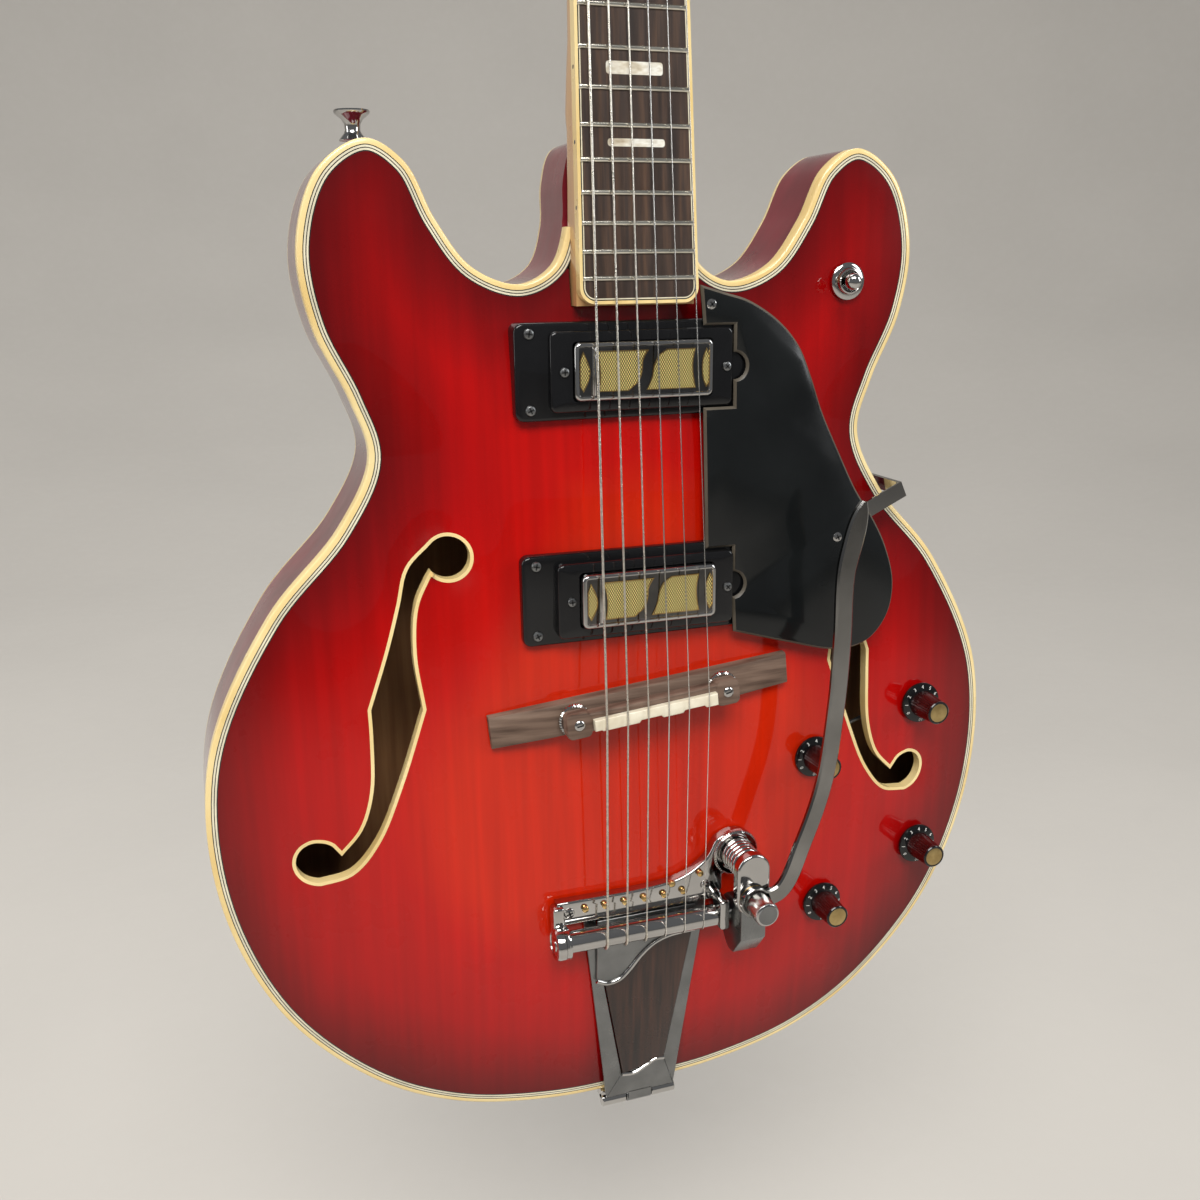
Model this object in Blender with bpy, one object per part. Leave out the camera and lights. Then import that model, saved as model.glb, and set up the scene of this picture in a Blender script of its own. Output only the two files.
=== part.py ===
"""Semi-hollow electric guitar with a trapeze tailpiece and a spring vibrato.

World frame: the origin is the middle of the neck at the nut. +X is the treble side, +Z runs up
the neck to the headstock, and the playing face looks towards -Y. All lengths are in metres.
"""
import math

import bmesh
import bpy
from mathutils import Matrix, Vector

# ---- driving dimensions -------------------------------------------------------------------
GAP = 0.0003                   # clearance between pieces that touch
SCALE_LENGTH = 0.62865         # nut to saddle, 24.75 in
FRET_COUNT = 21

BODY_DEPTH = 0.046             # rim, front edge to back edge
RIM_Y = -0.029                 # plane of the front edge
BACK_Y = RIM_Y + BODY_DEPTH    # plane of the back edge
ARCH_FRONT = 0.0105            # how far the top swells forward at its middle
ARCH_BACK = 0.0075
ARCH_RUN = 0.110               # distance from the edge over which the arch rises
ARCH_POWER = 1.4
TOP_THICKNESS = 0.0045
BACK_THICKNESS = 0.003
BINDING_WIDTH = 0.0053
BINDING_DEPTH = 0.0070
BACK_BINDING = 0.0025
SIDE_THICKNESS = 0.003
LINING = 0.0085                # inner edge of the linings, measured in from the outline

BOARD_Y = -0.0105              # playing surface at the nut
BOARD_SLOPE = 0.0738           # how the board leans: forward per metre towards the body
BOARD_THICKNESS = 0.0055
BOARD_END = -0.4525
NUT_HALF = 0.0208
END_HALF = 0.0276
FRET_HEIGHT = 0.0010
FRET_WIDTH = 0.0022
NECK_END = -0.4533
POCKET_FLOOR = -0.0205
HEEL_TOP = -0.3785

STRING_NUT_Y = -0.0126
STRING_SADDLE_Y = -0.0610
SADDLE_Z = -0.637
NUT_SPREAD = 0.0174            # outer strings from the middle, at the nut
SADDLE_SPREAD = 0.0256
TAIL_X = 0.0023                # bridge and tailpiece sit this far towards the treble side
STRING_RADII = (0.00060, 0.00050, 0.00042, 0.00034, 0.00026, 0.00022)

HEAD_TILT = math.radians(12)
HEAD_THICKNESS = 0.0145
HEAD_ORIGIN = Vector((0.0, BOARD_Y + BOARD_THICKNESS + GAP, 0.0))

# Right half of the body's outline, from the tail end to the top of the heel, as (x, z).
BODY_CURVE = (
    (0.0, -0.8610), (0.0460, -0.8594), (0.0960, -0.8480), (0.1370, -0.8242),
    (0.1775, -0.7775), (0.2000, -0.7130), (0.1982, -0.6450), (0.1680, -0.5840),
    (0.1345, -0.5460), (0.1198, -0.5160), (0.1262, -0.4910), (0.1398, -0.4600),
    (0.1437, -0.4270), (0.1330, -0.3970), (0.1135, -0.3853), (0.0975, -0.3945),
    (0.0860, -0.4170), (0.0710, -0.4365), (0.0500, -0.4438), (0.0345, -0.4360),
    (0.0282, -0.4180), (0.0274, -0.4000), (0.0226, -0.3855), (0.0110, -0.3815),
)

F_TOP = (-0.0885, -0.5610)     # upper lobe of the bass-side sound hole
F_TOP_RADIUS = 0.0096
F_LOW = (-0.1550, -0.6996)     # lower lobe
F_LOW_RADIUS = 0.0102

PICKUP_X = 0.0015
NECK_PICKUP = {"z": -0.4810, "flange": 0.0120, "bezel": 0.0150, "cover": 0.0172}
BRIDGE_PICKUP = {"z": -0.5833, "flange": 0.0145, "bezel": 0.0200, "cover": 0.0240}
FLANGE_SIZE = (0.1170, 0.0425)
BEZEL_SIZE = (0.0865, 0.0350)
COVER_SIZE = (0.0656, 0.0254)
WINDOW_SIZE = (0.0664, 0.0262)
CAVITY_SIZE = (0.0700, 0.0300)
CAVITY_FLOOR = -0.0170

GUARD_HEIGHT = 0.0129          # underside above the rim plane, level with the neck pickup
GUARD_RISE = 0.024             # how the guard lifts towards the tail
GUARD_THICKNESS = 0.0022

BRIDGE_ANGLE = math.radians(5.4)
BRIDGE_CENTRE = (0.0015, -0.6370)
BRIDGE_POST_X = (-0.0352, 0.0398)
BRIDGE_BASE_TOP = 0.0170
WHEEL_HEIGHTS = (0.0187, 0.0209)
BAR_HEIGHTS = (0.0212, 0.0272)
SADDLE_TOP = 0.0312

ROCKER_HEIGHT = 0.0220         # height of the rocker's axis above the rim plane
ROCKER_Z = -0.7550
ROCKER_RADIUS = 0.0055
JOURNAL_RADIUS = 0.0040
LEVER_X = (0.0436, 0.0572)
LEVER_HEIGHTS = (0.0345, 0.0395)
SPRING_AT = (0.0500, -0.7245)
SEAT_HEIGHTS = (0.0115, 0.0165)
ARM_PIVOT = (0.0500, -0.7400)
ARM_HEIGHT = 0.0414
ARM_THICKNESS = 0.0030
HINGE_Z = -0.8668
HINGE_HEIGHT = 0.0010
HINGE_RADIUS = 0.0035

KNOB_POSITIONS = ((0.1600, -0.6610), (0.0960, -0.6810), (0.1045, -0.7665), (0.1645, -0.7445))
KNOB_NAMES = ("knob_treble_volume", "knob_bass_volume", "knob_bass_tone", "knob_treble_tone")
KNOB_HEIGHT = 0.0180
SHAFT_RADIUS = 0.0030
SWITCH_AT = (0.1078, -0.4447)
SWITCH_LEAN = math.radians(18)

TUNER_Z = (0.048, 0.088, 0.128)
TUNER_X = (0.0225, 0.0235, 0.0245)
HORN_BUTTON = (-0.1150, RIM_Y + 0.023, -0.3851)
JACK_AT = (0.2027, RIM_Y + 0.023, -0.6850)

SLOTS = {
    "cherry_top": ((0.42, 0.004, 0.002, 1), 0.12, 0.0),
    "cherry_side": ((0.22, 0.010, 0.012, 1), 0.14, 0.0),
    "inner_wood": ((0.55, 0.36, 0.20, 1), 0.6, 0.0),
    "cream_binding": ((0.86, 0.74, 0.48, 1), 0.25, 0.0),
    "maple_neck": ((0.70, 0.42, 0.19, 1), 0.2, 0.0),
    "rosewood": ((0.060, 0.028, 0.018, 1), 0.5, 0.0),
    "bridge_wood": ((0.17, 0.095, 0.065, 1), 0.55, 0.0),
    "white_plastic": ((0.83, 0.80, 0.70, 1), 0.35, 0.0),
    "black_plastic": ((0.008, 0.008, 0.008, 1), 0.12, 0.0),
    "chrome": ((0.72, 0.71, 0.69, 1), 0.12, 1.0),
    "steel": ((0.55, 0.54, 0.52, 1), 0.25, 1.0),
    "knob_plastic": ((0.06, 0.012, 0.012, 1), 0.18, 0.0),
}


# ---- scene helpers ------------------------------------------------------------------------
def clear_scene():
    """Remove every object that is already in the file."""
    for thing in list(bpy.data.objects):
        bpy.data.objects.remove(thing, do_unlink=True)


def make_material(name):
    """A Principled material for one finish."""
    colour, roughness, metallic = SLOTS[name]
    found = bpy.data.materials.get(name) or bpy.data.materials.new(name)
    found.use_nodes = True
    shader = found.node_tree.nodes["Principled BSDF"]
    shader.inputs["Base Color"].default_value = colour
    shader.inputs["Roughness"].default_value = roughness
    shader.inputs["Metallic"].default_value = metallic
    return found


def finish_mesh(name, bm):
    """Close, orient and triangulate a bmesh, and turn it into mesh data."""
    bmesh.ops.remove_doubles(bm, verts=bm.verts, dist=1e-6)
    bmesh.ops.recalc_face_normals(bm, faces=bm.faces)
    bmesh.ops.triangulate(bm, faces=bm.faces)
    mesh = bpy.data.meshes.new(name)
    bm.to_mesh(mesh)
    bm.free()
    mesh.shade_smooth()
    mesh.set_sharp_from_angle(angle=math.radians(35))
    return mesh


def add_node(name, bm, slot, origin=(0, 0, 0), parent=None, rotation=(0, 0, 0)):
    """Make one named sub-part. The bmesh is drawn around the origin given."""
    node = bpy.data.objects.new(name, finish_mesh(name, bm))
    node.data.materials.append(make_material(slot))
    node.location = origin
    node.rotation_euler = rotation
    node.parent = parent
    bpy.context.scene.collection.objects.link(node)
    return node


def add_guide(name, bm):
    """A hidden solid that a Boolean modifier uses."""
    guide = bpy.data.objects.new(name, finish_mesh(name, bm))
    guide.hide_render = True
    guide.display_type = "WIRE"
    bpy.context.scene.collection.objects.link(guide)
    return guide


def combine(node, operation, guide, solver="EXACT"):
    """Add a Boolean modifier to a node."""
    modifier = node.modifiers.new(guide.name, "BOOLEAN")
    modifier.operation = operation
    modifier.solver = solver
    modifier.object = guide


# ---- shape helpers ------------------------------------------------------------------------
def smooth_path(points, steps, closed=False):
    """Points of a centripetal Catmull-Rom curve through the given points."""
    knots = [Vector(p) for p in points]
    if closed:
        knots = [knots[-1]] + knots + knots[:2]
    else:
        knots = [2 * knots[0] - knots[1]] + knots + [2 * knots[-1] - knots[-2]]
    path = []
    for a, b, c, d in zip(knots, knots[1:], knots[2:], knots[3:]):
        t1 = math.sqrt((b - a).length)
        t2 = t1 + math.sqrt((c - b).length)
        t3 = t2 + math.sqrt((d - c).length)
        for step in range(steps):
            t = t1 + (t2 - t1) * step / steps
            ab = a * (t1 - t) / t1 + b * t / t1
            bc = b * (t2 - t) / (t2 - t1) + c * (t - t1) / (t2 - t1)
            cd = c * (t3 - t) / (t3 - t2) + d * (t - t2) / (t3 - t2)
            abc = ab * (t2 - t) / t2 + bc * t / t2
            bcd = bc * (t3 - t) / (t3 - t1) + cd * (t - t1) / (t3 - t1)
            path.append(abc * (t2 - t) / (t2 - t1) + bcd * (t - t1) / (t2 - t1))
    if not closed:
        path.append(knots[-2])
    return path


def arc(centre, radius, start, end, count):
    """Points on a circle between two angles in degrees, both ends included."""
    angles = [math.radians(start + (end - start) * i / (count - 1)) for i in range(count)]
    return [Vector((centre[0] + radius * math.cos(a), centre[1] + radius * math.sin(a)))
            for a in angles]


def rounded_rectangle(centre, size, radius, per_corner=4):
    """Outline of a rectangle with round corners."""
    half_x = size[0] / 2 - radius
    half_z = size[1] / 2 - radius
    outline = []
    for number, (sx, sz) in enumerate(((1, 1), (-1, 1), (-1, -1), (1, -1))):
        corner = (centre[0] + sx * half_x, centre[1] + sz * half_z)
        outline += arc(corner, radius, 90 * number, 90 * number + 90, per_corner)
    return outline


def turned(outline, angle, centre):
    """A 2-D outline turned about a point."""
    spin = Matrix.Rotation(angle, 2)
    middle = Vector(centre)
    return [middle + spin @ (Vector(p) - middle) for p in outline]


def inset(outline, distance):
    """A closed outline moved inwards, with mitred corners; it runs anticlockwise."""
    moved = []
    count = len(outline)
    for i, here in enumerate(outline):
        before = (here - outline[i - 1]).normalized()
        after = (outline[(i + 1) % count] - here).normalized()
        normals = [Vector((-d.y, d.x)) for d in (before, after)]
        mitre = (normals[0] + normals[1]).normalized()
        moved.append(here + mitre * distance / max(0.4, mitre.dot(normals[0])))
    return moved


def prism(outline, front, back):
    """An outline in the XZ plane, extruded between two Y values."""
    return slab(outline, lambda x, z: front, lambda x, z: back)


def slab(outline, front, back, grid=None):
    """A plate whose front and back faces follow two functions of x and z."""
    bm = bmesh.new()
    bm.faces.new([bm.verts.new((p[0], 0, p[1])) for p in outline])
    bm.normal_update()
    if grid:
        for axis in (0, 2):
            values = [v.co[axis] for v in bm.verts]
            normal = Vector((axis == 0, 0, axis == 2))
            for line in range(math.ceil(min(values) / grid), math.floor(max(values) / grid) + 1):
                everything = bm.verts[:] + bm.edges[:] + bm.faces[:]
                bmesh.ops.bisect_plane(bm, geom=everything, dist=1e-6,
                                       plane_co=normal * (line + 0.37) * grid, plane_no=normal)
    bmesh.ops.triangulate(bm, faces=bm.faces)
    front_verts = bm.verts[:]
    made = bmesh.ops.extrude_face_region(bm, geom=bm.faces[:])["geom"]
    for vert in front_verts:
        vert.co.y = front(vert.co.x, vert.co.z)
    for vert in made:
        if isinstance(vert, bmesh.types.BMVert):
            vert.co.y = back(vert.co.x, vert.co.z)
    return bm


def band(outlines, levels):
    """A closed ring: outline number i lies at Y level i, and the last joins the first."""
    bm = bmesh.new()
    rings = [[bm.verts.new((p.x, y, p.y)) for p in outline] for outline, y in zip(outlines, levels)]
    return skin(bm, rings, close=True)


def skin(bm, rings, close=False):
    """Join rings of equally many vertices with quads; open ends get a cap."""
    count = len(rings[0])
    pairs = list(zip(rings, rings[1:]))
    if close:
        pairs.append((rings[-1], rings[0]))
    else:
        bm.faces.new(rings[0])
        bm.faces.new(rings[-1])
    for one, two in pairs:
        for i in range(count):
            j = (i + 1) % count
            bm.faces.new((one[i], one[j], two[j], two[i]))
    return bm


def lathe(profile, axis="Y", steps=24, centre=(0, 0, 0)):
    """A turned solid: profile holds (radius, distance along the axis), both ends on the axis."""
    bm = bmesh.new()
    along = {"X": Vector((1, 0, 0)), "Y": Vector((0, 1, 0)), "Z": Vector((0, 0, 1))}[axis]
    across = Vector((0, 0, 1)) if axis != "Z" else Vector((1, 0, 0))
    verts = [bm.verts.new(Vector(centre) + along * d + across * r) for r, d in profile]
    edges = [bm.edges.new(pair) for pair in zip(verts, verts[1:])]
    bmesh.ops.spin(bm, geom=verts + edges, cent=centre, axis=along, angle=2 * math.pi,
                   steps=steps, use_merge=True)
    return bm


def rod(radius, start, end, axis="Y", steps=20, centre=(0, 0, 0)):
    """A plain cylinder along an axis."""
    return lathe(((0, start), (radius, start), (radius, end), (0, end)), axis, steps, centre)


def box(low, high):
    """A block between two corners."""
    bm = bmesh.new()
    bmesh.ops.create_cube(bm, size=1)
    for vert in bm.verts:
        vert.co = [low[i] + (vert.co[i] + 0.5) * (high[i] - low[i]) for i in range(3)]
    return bm


def merged(*pieces):
    """Several bmeshes as one; they may stay separate bodies."""
    whole = bmesh.new()
    for piece in pieces:
        mesh = bpy.data.meshes.new("piece")
        piece.to_mesh(mesh)
        piece.free()
        whole.from_mesh(mesh)
        bpy.data.meshes.remove(mesh)
    return whole


def sweep(path, width, thickness):
    """A flat bar along 3-D points, its width across the path and its thickness along Y."""
    bm = bmesh.new()
    rings = []
    for i, here in enumerate(path):
        ahead = path[min(i + 1, len(path) - 1)] - path[max(i - 1, 0)]
        side = Vector((-ahead.z, 0, ahead.x)).normalized() * width / 2
        lift = Vector((0, thickness / 2, 0))
        corners = (side - lift, side + lift, -side + lift, -side - lift)
        rings.append([bm.verts.new(here + corner) for corner in corners])
    return skin(bm, rings)


def tube(name, path, radius, slot, resolution=0):
    """A node made of round wire along 3-D points."""
    curve = bpy.data.curves.new(name, "CURVE")
    curve.dimensions = "3D"
    curve.bevel_depth = radius
    curve.bevel_resolution = resolution
    curve.use_fill_caps = True
    spline = curve.splines.new("POLY")
    spline.points.add(len(path) - 1)
    for point, place in zip(spline.points, path):
        point.co = (*place, 1)
    curve.materials.append(make_material(slot))
    node = bpy.data.objects.new(name, curve)
    bpy.context.scene.collection.objects.link(node)
    return node


# ---- body geometry shared by many pieces --------------------------------------------------
def body_outline(steps=3):
    """The whole outline, anticlockwise seen from the front."""
    left = [(-x, z) for x, z in reversed(BODY_CURVE[1:])]
    return smooth_path(BODY_CURVE + tuple(left), steps, closed=True)


OUTLINE = body_outline()


def edge_distance(x, z):
    """Distance from a point to the nearest stretch of the outline."""
    point = Vector((x, z))
    nearest = 1.0
    for i, start in enumerate(OUTLINE):
        run = OUTLINE[(i + 1) % len(OUTLINE)] - start
        share = max(0.0, min(1.0, (point - start).dot(run) / run.length_squared))
        nearest = min(nearest, (start + run * share - point).length)
    return nearest


def arch(x, z, height):
    """How far a plate swells at a point of the body."""
    share = min(1.0, edge_distance(x, z) / ARCH_RUN)
    return height * (1 - (1 - share) ** 2) ** ARCH_POWER


def top_y(x, z):
    """Y of the top's outer surface."""
    return RIM_Y - arch(x, z, ARCH_FRONT)


def raised(height):
    """Y of a height above the rim plane."""
    return RIM_Y - height


def board_y(z):
    """Y of the fretboard's playing surface."""
    return BOARD_Y + BOARD_SLOPE * z


def string_y(z):
    """Y of the strings between nut and saddle."""
    return STRING_NUT_Y + (STRING_SADDLE_Y - STRING_NUT_Y) * z / SADDLE_Z


def board_half(z):
    """Half the fretboard's width."""
    return NUT_HALF + (END_HALF - NUT_HALF) * z / BOARD_END


def sound_hole(side, grow=0.0):
    """Outline of a sound hole: side is -1 for bass, 1 for treble."""
    top = arc(F_TOP, F_TOP_RADIUS, 212, 500, 15)
    outer = smooth_path((top[-1], (-0.1062, -0.5655), (-0.1110, -0.5820), (-0.1172, -0.6020),
                         (-0.1268, -0.6284)), 2)[1:]
    lower_left = smooth_path((outer[-1], (-0.1268, -0.6420), (-0.1284, -0.6680),
                              (-0.1345, -0.6860), (-0.1446, -0.6972)), 2)[1:]
    low = arc(F_LOW, F_LOW_RADIUS, 50, 270, 13)
    inner = smooth_path((low[-1], (-0.1412, -0.7065), (-0.1285, -0.6920), (-0.1165, -0.6650),
                         (-0.1040, -0.6298)), 3)[1:]
    upper_right = smooth_path((inner[-1], (-0.1068, -0.6040), (-0.1046, -0.5815),
                               (-0.0975, -0.5668)), 2)[1:-1]
    outline = top + outer + lower_left + low + inner + upper_right
    if side > 0:
        outline = [Vector((-p.x, p.y)) for p in reversed(outline)]
    return inset(outline, -grow)


# ---- body ---------------------------------------------------------------------------------
def build_body():
    """Top, back, sides, block and bindings."""
    ring = {d: inset(OUTLINE, d) for d in
            (0, BACK_BINDING, BACK_BINDING + GAP, BINDING_WIDTH, BINDING_WIDTH + GAP,
             SIDE_THICKNESS, LINING)}
    pocket = add_guide("neck_pocket", box((-END_HALF - 2 * GAP, -0.07, NECK_END - GAP),
                                          (END_HALF + 2 * GAP, POCKET_FLOOR, -0.37)))
    cavity_shapes = [rounded_rectangle((PICKUP_X, spec["z"]), CAVITY_SIZE, 0.003, 3)
                     for spec in (NECK_PICKUP, BRIDGE_PICKUP)]
    openings = [prism(shape, -0.07, -0.02) for shape in cavity_shapes]
    openings += [prism(sound_hole(side), -0.07, -0.02) for side in (-1, 1)]
    openings += [rod(0.0045, -0.07, -0.02, "Y", 12, (x, 0, z)) for x, z in KNOB_POSITIONS]
    openings += [rod(0.0062, -0.07, -0.02, "Y", 12, (SWITCH_AT[0], 0, SWITCH_AT[1]))]

    inner = ring[BINDING_WIDTH + GAP]
    top = add_node("top_plate", slab(inner, top_y, lambda x, z: top_y(x, z) + TOP_THICKNESS,
                                     grid=0.036), "cherry_top")
    combine(top, "DIFFERENCE", pocket)
    combine(top, "DIFFERENCE", add_guide("top_openings", merged(*openings)))

    back = slab(ring[BACK_BINDING + GAP],
                lambda x, z: BACK_Y + arch(x, z, ARCH_BACK) - BACK_THICKNESS,
                lambda x, z: BACK_Y + arch(x, z, ARCH_BACK), grid=0.042)
    add_node("back_plate", back, "cherry_side")

    wall_front = RIM_Y + BINDING_DEPTH + GAP
    lining_front = RIM_Y + TOP_THICKNESS + GAP
    wall_back = BACK_Y - BACK_THICKNESS - GAP
    rim = add_node("side_rim", band(
        [ring[0], ring[BINDING_WIDTH + GAP], ring[BINDING_WIDTH + GAP], ring[LINING], ring[LINING],
         ring[SIDE_THICKNESS], ring[SIDE_THICKNESS], ring[0]],
        [wall_front, wall_front, lining_front, lining_front, lining_front + 0.009,
         lining_front + 0.012, wall_back, wall_back]), "cherry_side")
    combine(rim, "DIFFERENCE", pocket)
    jack_hole = rod(0.0086, 0.18, 0.22, "X", 16, (0, JACK_AT[1], JACK_AT[2]))
    combine(rim, "DIFFERENCE", add_guide("jack_hole", jack_hole))

    binding = add_node("top_binding", band(
        [ring[0], ring[BINDING_WIDTH], ring[BINDING_WIDTH], ring[0]],
        [RIM_Y, RIM_Y, RIM_Y + BINDING_DEPTH, RIM_Y + BINDING_DEPTH]), "cream_binding")
    combine(binding, "DIFFERENCE", pocket)
    add_node("back_binding", band(
        [ring[0], ring[BACK_BINDING], ring[BACK_BINDING], ring[0]],
        [wall_back + GAP, wall_back + GAP, BACK_Y, BACK_Y]), "cream_binding")

    half = 0.048
    shape = [(-half, -0.849), (half, -0.849), (half, -0.455), (0.0165, -0.455), (0.0165, -0.393),
             (-0.0165, -0.393), (-0.0165, -0.455), (-half, -0.455)]
    block = add_node("centre_block", slab(
        shape, lambda x, z: top_y(x, z) + TOP_THICKNESS + 0.0012,
        lambda x, z: BACK_Y + arch(x, z, ARCH_BACK) - BACK_THICKNESS - 0.0014, grid=0.032),
        "inner_wood")
    combine(block, "DIFFERENCE", pocket)
    cavities = merged(*[prism(shape, -0.07, CAVITY_FLOOR) for shape in cavity_shapes])
    combine(block, "DIFFERENCE", add_guide("pickup_cavities", cavities))


# ---- neck ---------------------------------------------------------------------------------
def neck_section(z, depth, squareness, steps=14):
    """Half of a superellipse behind the fretboard: a round neck or a square heel."""
    half = board_half(z)
    face = board_y(z) + BOARD_THICKNESS + GAP
    section = []
    for i in range(steps + 1):
        a = math.pi * i / steps
        x = half * math.copysign(abs(math.cos(a)) ** (2 / squareness), math.cos(a))
        section.append(Vector((x, face + depth * math.sin(a) ** (2 / squareness), z)))
    return section


def heel_depth(z):
    """Depth of the neck's heel: its back lies on the pocket's floor."""
    return POCKET_FLOOR - GAP - (board_y(z) + BOARD_THICKNESS + GAP)


def head_outline():
    """Headstock, seen from the front in its own plane."""
    right = smooth_path(((NUT_HALF, 0.0), (0.0222, 0.010), (0.0300, 0.026), (0.0350, 0.042),
                         (0.0385, 0.100), (0.0405, 0.140), (0.0370, 0.163), (0.0200, 0.172),
                         (0.0, 0.168)), 3)
    return right + [Vector((-p.x, p.y)) for p in reversed(right[:-1])]


def build_neck():
    """Neck with its headstock, fretboard with its frets, nut and bolt plate."""
    stations = ((NECK_END, heel_depth(NECK_END), 9), (HEEL_TOP - 0.002, heel_depth(HEEL_TOP), 9),
                (-0.370, 0.0190, 4.5), (-0.345, 0.0172, 2.8), (-0.300, 0.0164, 2.2),
                (-0.150, 0.0150, 2.1), (0.0, 0.0145, 2.1), (0.006, 0.0150, 2.4))
    bm = bmesh.new()
    rings = [[bm.verts.new(p) for p in neck_section(*station)] for station in stations]
    neck = add_node("neck", skin(bm, rings), "maple_neck")

    head = add_guide("headstock", slab(head_outline(), lambda x, z: 0,
                                       lambda x, z: HEAD_THICKNESS))
    head.location = HEAD_ORIGIN
    head.rotation_euler = (-HEAD_TILT, 0, 0)
    combine(neck, "UNION", head)
    for number, (x, z) in enumerate(tuner_places()):
        hole = add_guide(f"tuner_hole_{number + 1}", rod(0.0036, -0.01, 0.03, "Y", 12))
        hole.parent = head
        hole.location = (x, 0, z)
        combine(neck, "DIFFERENCE", hole)

    corner = 0.007
    end = [(-board_half(BOARD_END) + corner, BOARD_END + corner),
           (board_half(BOARD_END) - corner, BOARD_END + corner)]
    outline = ([Vector((NUT_HALF, 0)), Vector((-NUT_HALF, 0))] + arc(end[0], corner, 180, 270, 6)
               + arc(end[1], corner, 270, 360, 6))
    board = add_node("fretboard", slab(outline, lambda x, z: board_y(z),
                                       lambda x, z: board_y(z) + BOARD_THICKNESS), "rosewood")
    frets = []
    for number in range(1, FRET_COUNT + 1):
        z = SCALE_LENGTH * (2 ** (-number / 12) - 1)
        half = board_half(z) - 0.0015
        frets.append(box((-half, board_y(z) - FRET_HEIGHT, z - FRET_WIDTH / 2),
                         (half, board_y(z) + 0.001, z + FRET_WIDTH / 2)))
    combine(board, "UNION", add_guide("fret_wires", merged(*frets)))

    add_node("nut", box((-NUT_HALF, STRING_NUT_Y + 0.0009, GAP),
                        (NUT_HALF, BOARD_Y + BOARD_THICKNESS, 0.0050)), "white_plastic")
    plate = rounded_rectangle((0, -0.418), (0.038, 0.052), 0.005)
    plate_front = BACK_Y + 0.0048
    add_node("neck_plate", prism(plate, plate_front, plate_front + 0.0018), "chrome")


# ---- tuners -------------------------------------------------------------------------------
def tuner_places():
    """Six post positions in the headstock's plane, low E first and high E last."""
    bass = [(-x, z) for x, z in zip(TUNER_X, TUNER_Z)]
    treble = [(x, z) for x, z in zip(reversed(TUNER_X), reversed(TUNER_Z))]
    return bass + treble


def build_tuners(head):
    """Two plates of three worm-gear housings, six posts and six buttons."""
    back = HEAD_THICKNESS + GAP
    for side, name in ((-1, "tuner_plate_bass"), (1, "tuner_plate_treble")):
        strip = rounded_rectangle((side * 0.0235, 0.088), (0.016, 0.108), 0.003, 3)
        plate = add_node(name, prism(strip, back, back + 0.0015), "chrome", parent=head)
        blocks = [box((x - 0.0070, back + 0.001, z - 0.0085), (x + 0.0070, back + 0.0105, z + 0.0085))
                  for x, z in tuner_places() if x * side > 0]
        guide = add_guide(f"{name}_housings", merged(*blocks))
        guide.parent = head
        combine(plate, "UNION", guide)
        holes = [rod(0.0034, -0.01, 0.006 + back, "Y", 12, (x, 0, z))
                 for x, z in tuner_places() if x * side > 0]
        guide = add_guide(f"{name}_holes", merged(*holes))
        guide.parent = head
        combine(plate, "DIFFERENCE", guide)
    for number, (x, z) in enumerate(tuner_places(), start=1):
        post = lathe(((0, -0.0125), (0.0026, -0.0125), (0.0030, -0.0118), (0.0030, -0.0085),
                      (0.0023, -0.0070), (0.0030, -0.0055), (0.0030, 0.0190), (0, 0.0190)),
                     "Y", 10)
        add_node(f"tuner_post_{number}", post, "steel", (x, 0, z), head)
        side = math.copysign(1, x)
        start = side * 0.0073
        button = lathe(((0, start), (0.0024, start), (0.0024, side * 0.0200),
                        (0.0058, side * 0.0225), (0.0085, side * 0.0290), (0.0070, side * 0.0345),
                        (0, side * 0.0360)), "X", 14)
        for vert in button.verts:
            if abs(vert.co.x) > 0.021:
                vert.co.y *= 0.45
        add_node(f"tuner_button_{number}", button, "white_plastic", (x, back + 0.0056, z), head)


# ---- strings ------------------------------------------------------------------------------
def string_x(number, spread, middle=0.0):
    """X of a string, counted from 0 for low E."""
    return middle + spread * (number / 2.5 - 1)


def build_strings(head):
    """Six wires from the posts over nut and saddle to the rocker bar."""
    to_world = Matrix.Translation(HEAD_ORIGIN) @ Matrix.Rotation(-HEAD_TILT, 4, "X")
    for number, (x, z) in enumerate(tuner_places()):
        radius = STRING_RADII[number]
        inward = -math.copysign(0.0030 + radius + GAP, x)
        post = to_world @ Vector((x + inward, -0.0070, z))
        nut = Vector((string_x(number, NUT_SPREAD), STRING_NUT_Y, 0.0046))
        saddle = Vector((string_x(number, SADDLE_SPREAD, TAIL_X), STRING_SADDLE_Y,
                         saddle_z(string_x(number, SADDLE_SPREAD, TAIL_X))))
        end_y = raised(ROCKER_HEIGHT + ROCKER_RADIUS + radius + GAP)
        end = Vector((saddle.x + 0.0006, end_y, ROCKER_Z))
        tube(f"string_{number + 1}", (post, nut, saddle, end), radius, "steel", 1)


def saddle_z(x):
    """Z of the saddle's crest, which slants with the bridge."""
    return BRIDGE_CENTRE[1] - 0.0015 + math.tan(BRIDGE_ANGLE) * (x - BRIDGE_CENTRE[0])


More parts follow.
